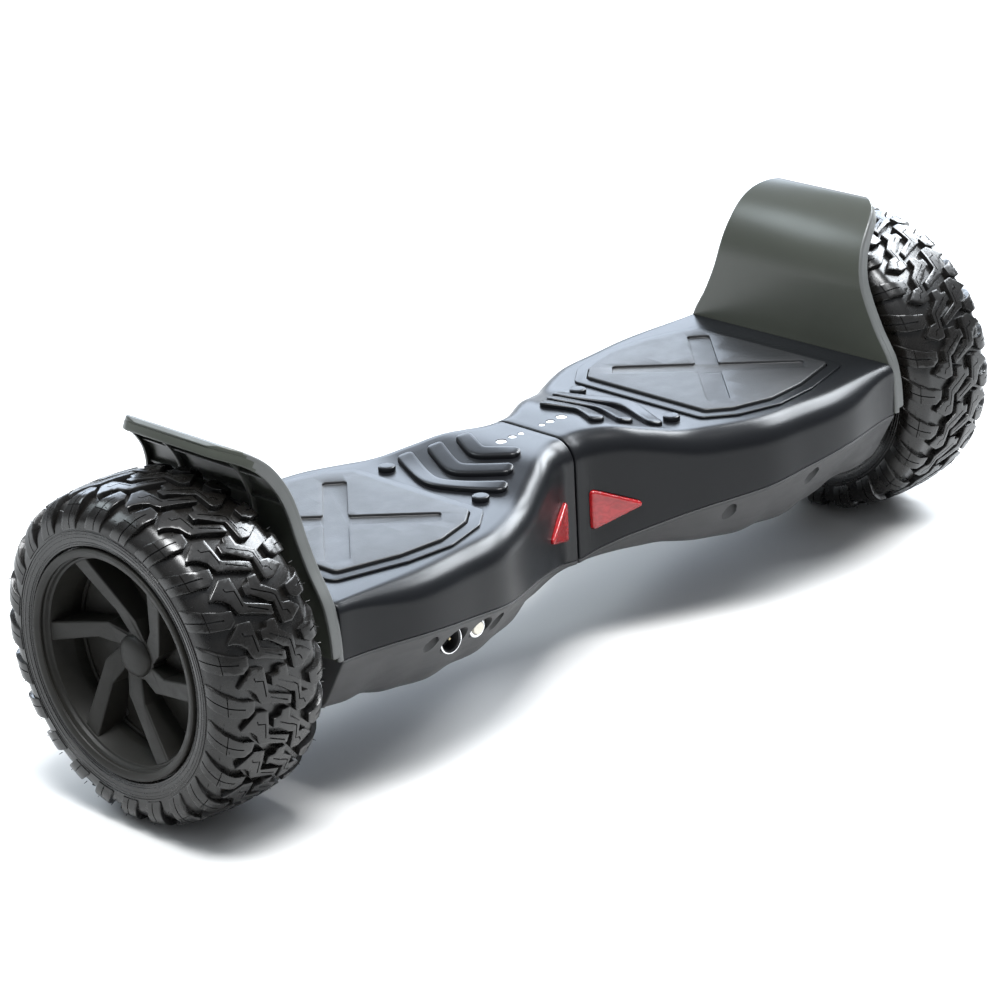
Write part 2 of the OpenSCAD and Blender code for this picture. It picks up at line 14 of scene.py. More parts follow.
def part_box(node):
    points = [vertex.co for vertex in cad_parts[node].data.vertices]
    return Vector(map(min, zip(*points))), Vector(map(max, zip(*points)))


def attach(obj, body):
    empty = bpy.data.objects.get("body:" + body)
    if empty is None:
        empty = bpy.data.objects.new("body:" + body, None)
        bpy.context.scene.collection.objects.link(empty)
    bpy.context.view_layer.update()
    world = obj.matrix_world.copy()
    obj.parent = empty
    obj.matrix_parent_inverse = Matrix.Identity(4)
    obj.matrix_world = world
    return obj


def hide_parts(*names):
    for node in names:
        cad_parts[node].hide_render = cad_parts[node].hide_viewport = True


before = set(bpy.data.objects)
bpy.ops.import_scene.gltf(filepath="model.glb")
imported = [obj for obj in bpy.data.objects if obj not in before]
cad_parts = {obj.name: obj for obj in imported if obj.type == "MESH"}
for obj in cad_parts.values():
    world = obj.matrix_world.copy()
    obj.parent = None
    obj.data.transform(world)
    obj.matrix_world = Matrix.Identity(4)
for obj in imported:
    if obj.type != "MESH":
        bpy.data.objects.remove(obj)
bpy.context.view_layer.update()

MM = 0.001
SIDES = {"left": -1, "right": 1}

# ---- driving dimensions, read from the frame (mm) ----


def node_box(node):
    low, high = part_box(node)
    return Vector(low) / MM, Vector(high) / MM


tyre_low, tyre_high = node_box("right_tyre")
TYRE_R = (tyre_high.z - tyre_low.z) / 2
WHEEL_X = (tyre_high.x + tyre_low.x) / 2
AXLE_Z = tyre_low.z + TYRE_R
shell_low, shell_high = node_box("right_top_shell")
SEAM = shell_low.x
SHELL_END = shell_high.x
WIDE_Y = shell_high.y
MAT_Z = node_box("right_foot_mat")[1].z
DECK_Z = MAT_Z - 3.5
WAIST_Z = DECK_Z + 11
MAT_T = 6.5
TRAY_Z = MAT_Z - 8.3
LAND_H = 1.5
FENDER_T = 4.5
FENDER_R = 59
FENDER_FOOT = 103
FENDER_TOP = 244
FENDER_CORNER = 18.0
FENDER_TURN = math.radians(72)
CURL = Vector((SHELL_END + FENDER_R, 185))
FENDER_LENGTH = CURL.y - FENDER_FOOT + FENDER_R * FENDER_TURN
cover_low, cover_high = node_box("right_spoke_cover")
SPOKE_U = cover_low.x - WHEEL_X
SPOKE_H = cover_high.x - cover_low.x
COVER_U = SPOKE_U - 3
cap_low, cap_high = node_box("right_centre_cap")
CAP_R = (cap_high.z - cap_low.z) / 2
CAP_H = cap_high.x - cap_low.x
HUB_H = cap_low.x - cover_low.x
socket_low, socket_high = node_box("charge_socket")
button_low, button_high = node_box("power_button")

# Body lines, as in the CAD: [distance from the seam, value]
DEPTH = [(0, 40), (16, 42), (45, 58), (120, 97), (160, 103), (205, WIDE_Y), (SHELL_END, 95)]
TOP = [(0, WAIST_Z), (36, WAIST_Z), (58, 144.5), (80, DECK_Z + 0.8), (100, DECK_Z), (SHELL_END, DECK_Z)]
SPLIT = [(0, 66), (40, 76.5), (90, 88), (180, 99.5), (215, 102.5), (SHELL_END, 102)]
BOTTOM = [(0, 61), (50, 59), (85, 54), (115, 48.5), (195, 46.5), (235, 58), (SHELL_END, 60)]
BELLY = [(0, 34), (40, 43), (70, 54), (110, 65), (180, 69), (215, 66), (240, 76), (SHELL_END, 72)]
EDGE = [(0, 17), (200, 17), (SHELL_END, 7)]
FENDER_LINE = [(FENDER_FOOT, 96.5), (137, 92), (160, 79), (185, 68), (212, 61.5), (229, 58), (245, 50)]

PAD = [(113, 54), (113, -54), (128, -66), (158, -74.5), (192, -72), (235, -60),
       (235, 60), (192, 72), (158, 74.5), (128, 66)]
CROSS_X, CROSS_REACH, CROSS_W, CROSS_DEPTH = 178, (90, 98), 16, 1.8
RIBS = [(40, 22, 49), (57, 32, 70), (74, 43, 91)]
STUD_AT, STUD_R = (91.5, 43), 5.8
LIGHTS = [(28.7, 3.7), (18.1, 2.8), (10, 2)]
LAMP = [(11.5, 83), (11.5, 113), (47, 97)]
WELLS = {"left": (131, 194), "right": (104, 173)}


def slope(line, i):
    if i in (0, len(line) - 1):
        return 0.0
    return (line[i + 1][1] - line[i - 1][1]) / (line[i + 1][0] - line[i - 1][0])


def curve(x, line):
    """The smooth curve through a body line's points."""
    i = 0
    while i < len(line) - 2 and x >= line[i + 1][0]:
        i += 1
    (x0, v0), (x1, v1) = line[i], line[i + 1]
    d = x1 - x0
    s = (x - x0) / d
    return (v0 * (2 * s**3 - 3 * s**2 + 1) + slope(line, i) * d * (s**3 - 2 * s**2 + s)
            + v1 * (3 * s**2 - 2 * s**3) + slope(line, i + 1) * d * (s**3 - s**2))


# ---- outlines (2-D, mm) ----


def corner_half(a, b):
    return math.acos(max(-1, min(1, a.dot(b)))) / 2


def neighbours(points, i):
    p = Vector(points[i])
    a = (Vector(points[i - 1]) - p).normalized()
    b = (Vector(points[(i + 1) % len(points)]) - p).normalized()
    return p, a, b


def grow(points, by):
    """A convex outline pushed outwards."""
    out = []
    for i in range(len(points)):
        p, a, b = neighbours(points, i)
        out.append(p - (a + b).normalized() * by / math.sin(corner_half(a, b)))
    return out


def spun(points, turn):
    """Plane points turned about the origin."""
    c, s = math.cos(turn), math.sin(turn)
    return [(x * c - y * s, x * s + y * c) for x, y in points]


def rounded(points, radius, steps=6):
    """An outline with each corner turned into an arc."""
    out = []
    for i in range(len(points)):
        p, a, b = neighbours(points, i)
        half = corner_half(a, b)
        if half > math.radians(88):
            out.append(p)
            continue
        centre = p + (a + b).normalized() * radius / math.sin(half)
        start = p + a * radius / math.tan(half) - centre
        end = p + b * radius / math.tan(half) - centre
        first = math.atan2(start.y, start.x)
        turn = math.atan2(end.y, end.x) - first
        turn -= math.tau * round(turn / math.tau)
        out += [centre + radius * Vector((math.cos(first + turn * k / steps), math.sin(first + turn * k / steps)))
                for k in range(steps + 1)]
    return out


def band(path, half_width, steps=8):
    """The outline of a band with round ends along a path."""
    path = [Vector(p) for p in path]
    left, right = [], []
    for i, p in enumerate(path):
        along = (path[min(i + 1, len(path) - 1)] - path[max(i - 1, 0)]).normalized()
        across = Vector((-along.y, along.x)) * half_width
        left.append(p + across)
        right.append(p - across)
    return left + end_arc(path[-1], left[-1], steps) + right[::-1] + end_arc(path[0], right[0], steps)


def end_arc(centre, start, steps):
    spoke = start - centre
    turned = []
    for k in range(1, steps):
        a = -math.pi * k / steps
        turned.append(centre + Vector((spoke.x * math.cos(a) - spoke.y * math.sin(a),
                                       spoke.x * math.sin(a) + spoke.y * math.cos(a))))
    return turned


# ---- mesh making ----


def make(name, verts, faces, scale=MM):
    """A mesh object from points in mm, with its normals turned outwards."""
    mesh = bpy.data.meshes.new(name)
    mesh.from_pydata([tuple(Vector(v) * scale) for v in verts], [], faces)
    mesh.update()
    bm = bmesh.new()
    bm.from_mesh(mesh)
    bmesh.ops.recalc_face_normals(bm, faces=bm.faces)
    bm.to_mesh(mesh)
    bm.free()
    piece = bpy.data.objects.new(name, mesh)
    bpy.context.collection.objects.link(piece)
    return piece


def loft(name, rings, closed=False):
    """A skin through rings of equal length; closed joins the last ring to the first."""
    n, m = len(rings[0]), len(rings)
    verts = [p for ring in rings for p in ring]
    spans = m if closed else m - 1
    faces = [(i * n + j, i * n + (j + 1) % n, ((i + 1) % m) * n + (j + 1) % n, ((i + 1) % m) * n + j)
             for i in range(spans) for j in range(n)]
    if not closed:
        faces += [tuple(range(n)), tuple((m - 1) * n + j for j in range(n))]
    return make(name, verts, faces)


def prism(name, outline, place, low, high, round_edge=0.0, steps=3):
    """An outline extruded from low to high, its high edge rounded. place(a, b, h) gives the point."""
    levels = [(0.0, low)]
    if round_edge:
        for k in range(steps + 1):
            a = math.pi / 2 * k / steps
            levels.append((round_edge * (1 - math.cos(a)), high - round_edge * (1 - math.sin(a))))
    else:
        levels.append((0.0, high))
    rings = [[place(p[0], p[1], h) for p in inset(outline, by)] for by, h in levels]
    return loft(name, rings)


def inset(outline, by):
    """An outline pulled inwards by its local normals: fine for small distances."""
    if not by:
        return [Vector(p) for p in outline]
    points = [Vector(p) for p in outline]
    area = sum(points[i - 1].x * p.y - p.x * points[i - 1].y for i, p in enumerate(points))
    sign = 1 if area > 0 else -1
    out = []
    for i, p in enumerate(points):
        along = (points[(i + 1) % len(points)] - points[i - 1]).normalized()
        out.append(p + Vector((-along.y, along.x)) * by * sign)
    return out


def on_axis(origin, axis, r, a, u):
    """The point at radius r and angle a round an axis through origin, and u along it."""
    x, y = r * math.cos(a), r * math.sin(a)
    return Vector(origin) + Vector({"X": (u, x, y), "Y": (x, u, y), "Z": (x, y, u)}[axis])


def turn_steps(n):
    return [math.tau * k / n for k in range(n)]


def lathe(name, profile, origin, axis="X", steps=96):
    """A closed profile of (radius, distance along the axis) turned about an axis through origin."""
    rings = [[on_axis(origin, axis, r, a, u) for r, u in profile] for a in turn_steps(steps)]
    return loft(name, rings, closed=True)


def bake(piece):
    """Applies a piece's modifiers."""
    graph = bpy.context.evaluated_depsgraph_get()
    mesh = bpy.data.meshes.new_from_object(piece.evaluated_get(graph))
    piece.modifiers.clear()
    piece.data = mesh
    return piece


def combine(piece, others, operation="DIFFERENCE"):
    for other in others:
        cut = piece.modifiers.new("cut", "BOOLEAN")
        cut.object, cut.operation, cut.solver = other, operation, "MANIFOLD"
    bake(piece)
    for other in others:
        bpy.data.objects.remove(other, do_unlink=True)
    return piece


def shade(piece, angle=32):
    """Smooth faces with sharp edges where the surface turns by more than angle degrees."""
    bm = bmesh.new()
    bm.from_mesh(piece.data)
    bmesh.ops.remove_doubles(bm, verts=bm.verts, dist=1e-6)
    for face in bm.faces:
        face.smooth = True
    for edge in bm.edges:
        edge.smooth = edge.calc_face_angle(0.0) < math.radians(angle)
    bm.to_mesh(piece.data)
    bm.free()
    return piece


def join(name, parts):
    """Several objects as one, each face keeping its material."""
    bm = bmesh.new()
    materials = []
    for part in parts:
        start = len(bm.faces)
        bm.from_mesh(part.data)
        bm.faces.ensure_lookup_table()
        own = list(part.data.materials) or [None]
        for material in own:
            if material not in materials:
                materials.append(material)
        for face in bm.faces[start:]:
            face.material_index = materials.index(own[min(face.material_index, len(own) - 1)])
    mesh = bpy.data.meshes.new(name)
    bm.to_mesh(mesh)
    bm.free()
    for material in materials:
        if material:
            mesh.materials.append(material)
    for part in parts:
        bpy.data.objects.remove(part, do_unlink=True)
    piece = bpy.data.objects.new(name, mesh)
    bpy.context.collection.objects.link(piece)
    return piece


def turned(name, profile, origin, axis="Z", steps=48):
    """A solid of revolution: an open profile of (radius, height), closed by a flat disc at each end."""
    rings = [[on_axis(origin, axis, r, a, h) for a in turn_steps(steps)] for r, h in profile]
    return loft(name, rings)


def cushion(name, outline, place, low, high, edge=1.0, rings=7, steps=4):
    """A convex outline with a rounded upper edge; its top follows place() ring by ring to the middle."""
    middle = sum((Vector(p) for p in outline), Vector((0, 0))) / len(outline)
    levels = [(outline, low), (outline, high - edge)]
    for k in range(1, steps + 1):
        a = math.pi / 2 * k / steps
        levels.append((inset(outline, edge * (1 - math.cos(a))), high - edge * (1 - math.sin(a))))
    top = levels[-1][0]
    for k in range(1, rings + 1):
        t = 1 - k / (rings + 0.3)
        levels.append(([middle + (p - middle) * t for p in top], high))
    return loft(name, [[place(p[0], p[1], h) for p in ring] for ring, h in levels])


def across(piece, side):
    """Mirrors a piece made for the right half over to the side asked for."""
    if side == "left":
        piece.data.transform(Matrix.Scale(-1, 4, (1, 0, 0)))
        piece.data.flip_normals()
    return piece


# ---- body shells ----


def smoothed_stations(ends, edge):
    """(x, inset) along the half: close together in the rounded ends, even in between."""
    first, last = SEAM + ends, SHELL_END - ends
    turn = [math.pi / 2 * k / 4 for k in range(5)] if edge else [math.pi / 2]
    near = [(first + edge * (1 - math.cos(a)), edge * (1 - math.sin(a))) for a in turn]
    far = [(first + last - x, gap) for x, gap in reversed(near)]
    count = 56
    middle = [(first + edge + (last - first - 2 * edge) * k / count, 0.0) for k in range(1, count)]
    return near + middle + far


def top_ring(x, gap, drop, lip=0.0):
    y, z = curve(x, DEPTH) - gap, curve(x, TOP) - gap
    r = max(curve(x, EDGE) - gap, 3)
    low = curve(x, SPLIT) - drop
    turn = [math.pi / 2 * k / 12 for k in range(13)]
    arc = [(y - r + r * math.cos(a), z - r + r * math.sin(a)) for a in turn]
    side = [(y - lip, low), (y, low + lip), (y, (low + arc[0][1]) / 2)] + arc
    deck = [(y - r) * (1 - k / 6) for k in range(1, 6)]
    half = side + [(d, z) for d in deck] + [(0, z)]
    return [Vector((x, p[0], p[1])) for p in half] + [Vector((x, -p[0], p[1])) for p in reversed(half[:-1])]


def bottom_ring(x, gap, rise, lip=0.0):
    y, split = curve(x, DEPTH) - 1.25 * gap, curve(x, SPLIT)
    scallop = 1.7 * (1 - math.cos(math.tau * (x - 48) / 41)) if 48 < x < 253 else 0
    keel = Vector((curve(x, BELLY) - 0.6 * gap - scallop, curve(x, BOTTOM) + gap))
    edge = Vector((y - 1, split - 3))
    turn = edge + 0.7 * (keel - edge)
    flat = keel - Vector((14, 0))
    bend = [(1 - t)**2 * turn + 2 * t * (1 - t) * keel + t * t * flat for t in (k / 8 for k in range(9))]
    slope_points = [edge + (turn - edge) * k / 5 for k in range(1, 5)]
    half = [Vector((y - lip, split + rise)), Vector((y, split + rise - lip)), Vector((y, split - 1.2)),
            Vector((y - 0.3, split - 2.2)), edge]
    half += slope_points + bend + [Vector((flat.x / 2, flat.y)), Vector((0, flat.y))]
    return [Vector((x, p[0], p[1])) for p in half] + [Vector((x, -p[0], p[1])) for p in reversed(half[:-1])]


def body(name, ring, gap=0.0, ends=0.0, drop=0.0, edge=0.0, lip=0.0):
    rings = [ring(x, gap + extra, drop, lip) for x, extra in smoothed_stations(ends, edge)]
    return loft(name, rings)


def on_deck(a, b, h):
    return (a, b, curve(a, TOP) + h)


def flat_at(z):
    return lambda a, b, h: (a, b, z + h)


def on_rear_wall(a, b, h):
    return (a, -(curve(a, DEPTH) + h), b)


def on_front_wall(a, b, h):
    return (a, curve(a, DEPTH) + h, b)


def on_belly(a, b, h):
    return (a, b, curve(a, BOTTOM) - h)


def pad(by):
    return rounded(grow(PAD, by), 5 + 0.4 * by, 8)


def land():
    """The raised ring that frames the mat; the pocket is cut out of its middle."""
    return prism("land", finer(pad(9), 4), flat_at(0), DECK_Z - 1.5, DECK_Z + LAND_H, 0.9, 5)


def swept_bar(name, path, half_width, height, sink, place):
    """A low bar with a rounded top and round ends that follows the surface given by place()."""
    crown = [(1, 0.55), (0.97, 0.76), (0.88, 0.91), (0.74, 0.98), (0.5, 1)]
    rise = [(1, -sink)] + [(part, up * height) for part, up in crown]
    section = [(-s, h) for s, h in rise] + rise[::-1]
    path = [Vector(p) for p in path]
    spine = []
    first, last = path[0] - path[1], path[-1] - path[-2]
    for k in range(6, 0, -1):
        a = math.pi / 2 * k / 6.4
        spine.append((path[0] + first.normalized() * half_width * math.sin(a), math.cos(a)))
    spine += [(p, 1.0) for p in path]
    for k in range(1, 7):
        a = math.pi / 2 * k / 6.4
        spine.append((path[-1] + last.normalized() * half_width * math.sin(a), math.cos(a)))
    rings = []
    for i, (p, width) in enumerate(spine):
        along = (spine[min(i + 1, len(spine) - 1)][0] - spine[max(i - 1, 0)][0]).normalized()
        side = Vector((-along.y, along.x)) * half_width * width
        low = 0.35 + 0.65 * width
        rings.append([place(p.x + side.x * s, p.y + side.y * s, h * low if h > 0 else h) for s, h in section])
    return loft(name, rings)


def rib(x_end, span, crown):
    bend = 0.22
    path = []
    for k in range(25):
        t = -1 + k / 12
        lift = (math.sqrt(t * t + bend**2) - bend) / (math.sqrt(1 + bend**2) - bend)
        path.append((crown - (crown - x_end) * lift, span * t))
    return swept_bar("rib", path, 5.5, 3.4, 1.2, on_deck)


def stud(sign):
    profile = [(STUD_R, -2), (STUD_R, 2.4), (STUD_R - 0.3, 3.0), (STUD_R - 1, 3.4), (STUD_R - 2, 3.5),
               (0.4, 3.5)]
    return turned("stud", profile, (STUD_AT[0], sign * STUD_AT[1], DECK_Z), "Z", 32)


def well_places(side):
    return [(x, sign * (curve(x, DEPTH) - 8), curve(x, SPLIT) - 4) for x in WELLS[side] for sign in (-1, 1)]


def pillar(name, place, r, low, high, axis="Z", steps=32):
    return turned(name, [(r, low), (r, high)], place, axis, steps)


def top_shell(side):
    shell = body("shell", top_ring, edge=1.2, lip=0.7)
    combine(shell, [body("hollow", top_ring, 3, 3, 12)])
    tray = prism("tray", pad(3), flat_at(0), TRAY_Z - 2, DECK_Z - 1.7)
    posts = [pillar("post", place, 4.5, 5.5, 29.5) for place in well_places(side)]
    extras = [tray, land()] + [rib(*r) for r in RIBS] + [stud(-1), stud(1)] + posts
    combine(shell, extras, "UNION")
    cuts = [prism("pocket", pad(1), flat_at(0), TRAY_Z, DECK_Z + 12)]
    cuts += [pillar("light hole", (x, -1, WAIST_Z), r + 0.15, -6, 4) for x, r in LIGHTS]
    cuts += [pillar("screw hole", place, 2.1, -1, 22) for place in well_places(side)]
    cuts += [pillar("pivot hole", (SEAM, 0, AXLE_Z), 27, -5, 15, "X", 64),
             pillar("axle hole", (SHELL_END, 0, AXLE_Z), 14, -10, 10, "X", 48)]
    cuts += [lamp_block(place) for place in (on_rear_wall, on_front_wall)]
    for x, y in plungers():
        outline = [(x + 5 * math.cos(a), y + 5 * math.sin(a)) for a in turn_steps(24)]
        cuts.append(prism("plunger hole", outline, flat_at(0), TRAY_Z - 5, TRAY_Z + 5))
    combine(shell, cuts)
    shade(shell, 28)
    return across(shell, side)


def plungers():
    return [(x, y) for x in (150, 208) for y in (-42, 42)]


def lamp_outline(by):
    return rounded(grow(LAMP, by), 2.5 + by, 6)


def lamp_block(place):
    return cushion("lamp cut", lamp_outline(0.25), place, -9, 6, edge=0.01, steps=1)


def bottom_shell(side):
    shell = body("shell", bottom_ring, edge=1.2, lip=0.5)
    combine(shell, [body("hollow", bottom_ring, 3, 3, 12)])
    cups = [pillar("cup", place, 6.4, -27.5, 2.5) for place in well_places(side)]
    cuts = [pillar("well", place, 4.8, -60, 0) for place in well_places(side)]
    cuts += [pillar("well mouth", (x, y, well_mouth(x, y)), 5.6, -40, 0.9) for x, y, _ in well_places(side)]
    cuts += [pillar("screw hole", place, 2.1, -1, 10) for place in well_places(side)]
    cuts += [pillar("axle hole", (SHELL_END, 0, AXLE_Z), 14, -10, 10, "X", 48),
             pillar("pivot hole", (SEAM, 0, AXLE_Z), 27, -5, 4, "X", 64)]
    if side == "left":
        for at, r, floor_r in ports():
            cups.append(pillar("cup", at, r + 1.8, -30, 2.5, "Y", 64))
            cuts.append(pillar("pocket", at, r, -30, 0, "Y", 64))
            cuts.append(pillar("bore", at, floor_r + 0.15, -1, 9, "Y", 48))
    cups = [combine(cup, [body("clip", bottom_ring, 1, 1)], "INTERSECT") for cup in cups]
    combine(shell, cups, "UNION")
    cuts += lid_cuts()
    combine(shell, cuts)
    shade(shell, 28)
    return across(shell, side)


def well_mouth(x, y):
    """Height of the lower shell's slope at a screw well."""
    ring = bottom_ring(x, 0, 0)
    points = [p for p in ring if p.y * y > 0 and p.z < curve(x, SPLIT) - 2]
    near = min(points, key=lambda p: abs(abs(p.y) - abs(y)))
    return near.z


def ports():
    """Socket and power switch: pocket floor's centre, pocket radius, bore radius (mirrored later)."""
    socket = (-(socket_low.x + socket_high.x) / 2, -88, (socket_low.z + socket_high.z) / 2)
    button = (-(button_low.x + button_high.x) / 2, -88, (button_low.z + button_high.z) / 2)
    return [(socket, 10.6, 8), (button, 8.6, 6)]


def lid_cuts():
    """A parting groove round the battery or board lid, its screw recesses and a row of drain slots."""
    lid = [(98, -48), (98, 48), (206, 50), (206, -50)]
    outer, inner = rounded(grow(lid, 0.5), 9, 8), rounded(grow(lid, -0.5), 8, 8)
    outer, inner = finer(outer, 6), finer(inner, 6)
    rings = []
    for a, b in zip(outer, inner):
        rings.append([on_belly(p.x, p.y, h) for p, h in ((a, 3), (b, 3), (b, -0.9), (a, -0.9))])
    cuts = [loft("lid groove", rings, closed=True)]
    for x, y in LID_SCREWS:
        cuts.append(turned("screw recess", [(4.6, -4), (4.6, 0.2), (3.6, 1.6), (0.2, 1.6)],
                           (x, y, curve(x, BOTTOM)), "Z", 32))
    for y in (-36, -18, 0, 18, 36):
        cuts.append(prism("slot", band([(SLOT_X - 7, y), (SLOT_X + 7, y)], 1.8), on_belly_up, -4, 1.4))
    return cuts


def on_belly_up(a, b, h):
    return (a, b, curve(a, BOTTOM) + h)


def finer(loop, steps):
    out = []
    for i, p in enumerate(loop):
        q = loop[(i + 1) % len(loop)]
        count = steps if (q - p).length > 12 else 1
        out += [p + (q - p) * k / count for k in range(count)]
    return out


SLOT_X = 226
LID_SCREWS = [(106, -40), (106, 40), (198, -42), (198, 42), (152, 0)]


def screw(at, head_r, head_h, shaft_r, length):
    """A pan head screw that points up from its head's underside at height 0, with a cross recess below."""
    profile = [(0.2, -head_h), (head_r * 0.55, -head_h), (head_r * 0.86, 0.25 - head_h),
               (head_r, 0.75 - head_h), (head_r, 0), (shaft_r, 0), (shaft_r, length), (0.2, length)]
    pin = turned("screw", profile, at, "Z", 32)
    reach, width = head_r * 0.55, head_r * 0.13
    arm = [(width, reach), (-width, reach), (-width, width)]
    cross = [p for k in range(4) for p in spun(arm, math.pi / 2 * k)]
    turn = random.Random(round(at[0] * 7 + at[1])).uniform(0, math.pi / 2)
    recess = prism("recess", spun(cross, turn), lambda a, b, h: (at[0] + a, at[1] + b, at[2] + h),
                   -head_h - 1, 1.1 - head_h)
    return combine(pin, [recess])


def shell_screws(side):
    """The screws up the wells, and the bolts that hold the axle clamp."""
    parts = [screw(at, 4, 2.5, 2, 20) for at in well_places(side)]
    parts += [screw((x, y, AXLE_Z - 18), 4.2, 4, 2.5, 25) for x in (215, 247) for y in (-14, 14)]
    return across(shade(join("screws", parts), 30), side)


def lid_screws(side):
    parts = [screw((x, y, curve(x, BOTTOM) + 1.55), 3, 1.1, 1.2, 1.2) for x, y in LID_SCREWS]
    return across(shade(join("screws", parts), 30), side)


# ---- lamps, lights and mats ----


def lamp(side, place):
    lens = cushion("lens", lamp_outline(0), place, -2.8, 2.95, edge=2.3, rings=10, steps=7)
    return across(shade(lens, 40), side)


def reflector(side, place):
    """The faceted zigzag behind a lens."""
    middle = Vector((23.2, 98))
    outline = finer(lamp_outline(-0.6), 3)
    rings = []
    for k, t in enumerate((1.0, 0.86, 0.72, 0.56, 0.4, 0.22, 0.08)):
        depth = -3.0 - (1.3 if k % 2 else 0.0)
        shrunk = [middle + (p - middle) * t for p in outline]
        rings.append([place(p.x, p.y, depth) for p in shrunk])
    back = [place(p.x, p.y, -5.2) for p in outline]
    piece = loft("reflector", [back] + rings)
    return across(shade(piece, 12), side)


def status_lights(side):
    lenses = []
    for x, r in LIGHTS:
        dome = [(0.96, -0.12), (0.85, 0.04), (0.6, 0.14), (0.3, 0.18)]
        profile = [(r, -3.4), (r, -0.35)] + [(r * part, h) for part, h in dome] + [(0.15, 0.19)]
        lenses.append(turned("lens", profile, (x, -1, WAIST_Z), "Z", 32))
    return across(shade(join("lights", lenses), 50), side)


def cross_outline(by):
    """The X pressed into a mat: two crossing bars, corner by corner."""
    turn = math.atan2(CROSS_REACH[1], CROSS_REACH[0])
    length = math.hypot(*CROSS_REACH) / 2 + by
    half = CROSS_W / 2 + by
    middle = Vector((CROSS_X, 0))
    across_x, across_y = half / math.sin(turn), half / math.cos(turn)
    notches = [(across_x, 0), (0, across_y), (-across_x, 0), (0, -across_y)]
    out = []
    for angle, notch in zip((turn, math.pi - turn, math.pi + turn, -turn), notches):
        arm = Vector((math.cos(angle), math.sin(angle)))
        side = Vector((-arm.y, arm.x)) * half
        out += [middle + Vector(notch), middle + arm * length - side, middle + arm * length + side]
    return out


def foot_mat(side):
    mat = cushion("mat", finer(pad(0), 4), flat_at(MAT_Z), -MAT_T, 0, edge=1.0, rings=3, steps=5)
    levels = [(-0.3, -CROSS_DEPTH), (-0.1, 0.15 - CROSS_DEPTH), (0.0, -0.3), (0.12, -0.08), (0.35, 0.02),
              (0.35, 1)]
    rings = []
    for by, height in levels:
        rings.append([(p.x, p.y, MAT_Z + height) for p in rounded(cross_outline(by), 2.6, 5)])
    cross = loft("cross", rings)
    combine(mat, [cross])
    legs = [turned("leg", [(4, -9.1), (4, 0.1 - MAT_T)], (x, y, MAT_Z), "Z", 24) for x, y in plungers()]
    combine(mat, legs, "UNION")
    return across(shade(mat, 30), side)


# ---- fender ----


def fender_spine():
    """(point in XZ, direction towards the wheel) along the plate from foot to tip."""
    spine = []
    for k in range(15):
        z = FENDER_FOOT + (CURL.y - FENDER_FOOT) * k / 14
        spine.append((Vector((SHELL_END, z)), Vector((1, 0))))
    for k in range(1, 37):
        a = FENDER_TURN * k / 36
        out = Vector((-math.cos(a), math.sin(a)))
        spine.append((CURL + FENDER_R * out, -out))
    return spine


def fender_half(z, left):
    """Half width at a height; the plate's top corners are rounded over the last part left to its tip."""
    half = curve(min(z, FENDER_TOP), FENDER_LINE)
    if left < FENDER_CORNER:
        half -= FENDER_CORNER - math.sqrt(max(FENDER_CORNER**2 - (FENDER_CORNER - left)**2, 0))
    return half


def fender_plate():
    spine = fender_spine()
    length = [0.0]
    for (p, _), (q, _) in zip(spine, spine[1:]):
        length.append(length[-1] + (q - p).length)
    edge = 1.6
    turn = [math.pi / 2 * k / 4 for k in range(5)]
    rings = []
    for (p, inward), s in zip(spine, length):
        left = length[-1] - s
        half = fender_half(p.y, left)
        thick = FENDER_T * min(1.0, math.sqrt(max(1 - max(1 - left / edge, 0)**2, 0)) + 0.15)
        r = min(edge, thick / 2.2)
        corner = [(half - r + r * math.cos(a), thick - r + r * math.sin(a)) for a in turn]
        upper = corner + [(-y, n) for y, n in reversed(corner)]
        loop = upper + [(y, thick - n) for y, n in reversed(upper)]
        shift = (FENDER_T - thick) / 2
        rings.append([(p.x + inward.x * (n + shift), y, p.y + inward.y * (n + shift)) for y, n in loop])
    return loft("fender", rings)


def on_fender(y, s, n):
    """Point at y across, s along from the foot and n towards the wheel from the plate's outer face."""
    straight = CURL.y - FENDER_FOOT
    if s <= straight:
        return (SHELL_END + n, y, FENDER_FOOT + s)
    a = (s - straight) / FENDER_R
    r = FENDER_R - n
    return (CURL.x - r * math.cos(a), y, CURL.y + r * math.sin(a))


def on_wheel_side(y, s, h):
    return on_fender(y, s, FENDER_T + h)


def half_along(s):
    return fender_half(on_fender(0, s, 0)[2], FENDER_LENGTH - s)


def fender(side):
    """The curled plate with a stiffening flange round its wheel side, two uprights and a cross rib."""
    plate = fender_plate()
    side_path = [(half_along(s) - 1.5, s) for s in [4 + (FENDER_LENGTH - 5.6) * k / 48 for k in range(49)]]
    path = side_path + [(-y, s) for y, s in reversed(side_path)]
    bars = [swept_bar("flange", path, 1.4, 4.2, 1.2, on_wheel_side)]
    for y in (-30.5, 30.5):
        upright = [(y, 30 + (FENDER_LENGTH - 34) * k / 30) for k in range(31)]
        bars.append(swept_bar("upright", upright, 1.5, 3.4, 1.1, on_wheel_side))
    for s in (96, 118):
        reach = half_along(s) - 3
        rib_path = [(-reach + 2 * reach * k / 16, s) for k in range(17)]
        bars.append(swept_bar("cross rib", rib_path, 1.2, 2.4, 1.3, on_wheel_side))
    combine(plate, bars, "UNION")
    combine(plate, [pillar("axle hole", (SHELL_END, 0, AXLE_Z), 14, -6, 14, "X", 48)])
    shade(plate, 34)
    return across(plate, side)


# ---- tyre ----
# Tread outlines are (s, t): s across from the crown, + outwards, and t along the tread; a pitch repeats.

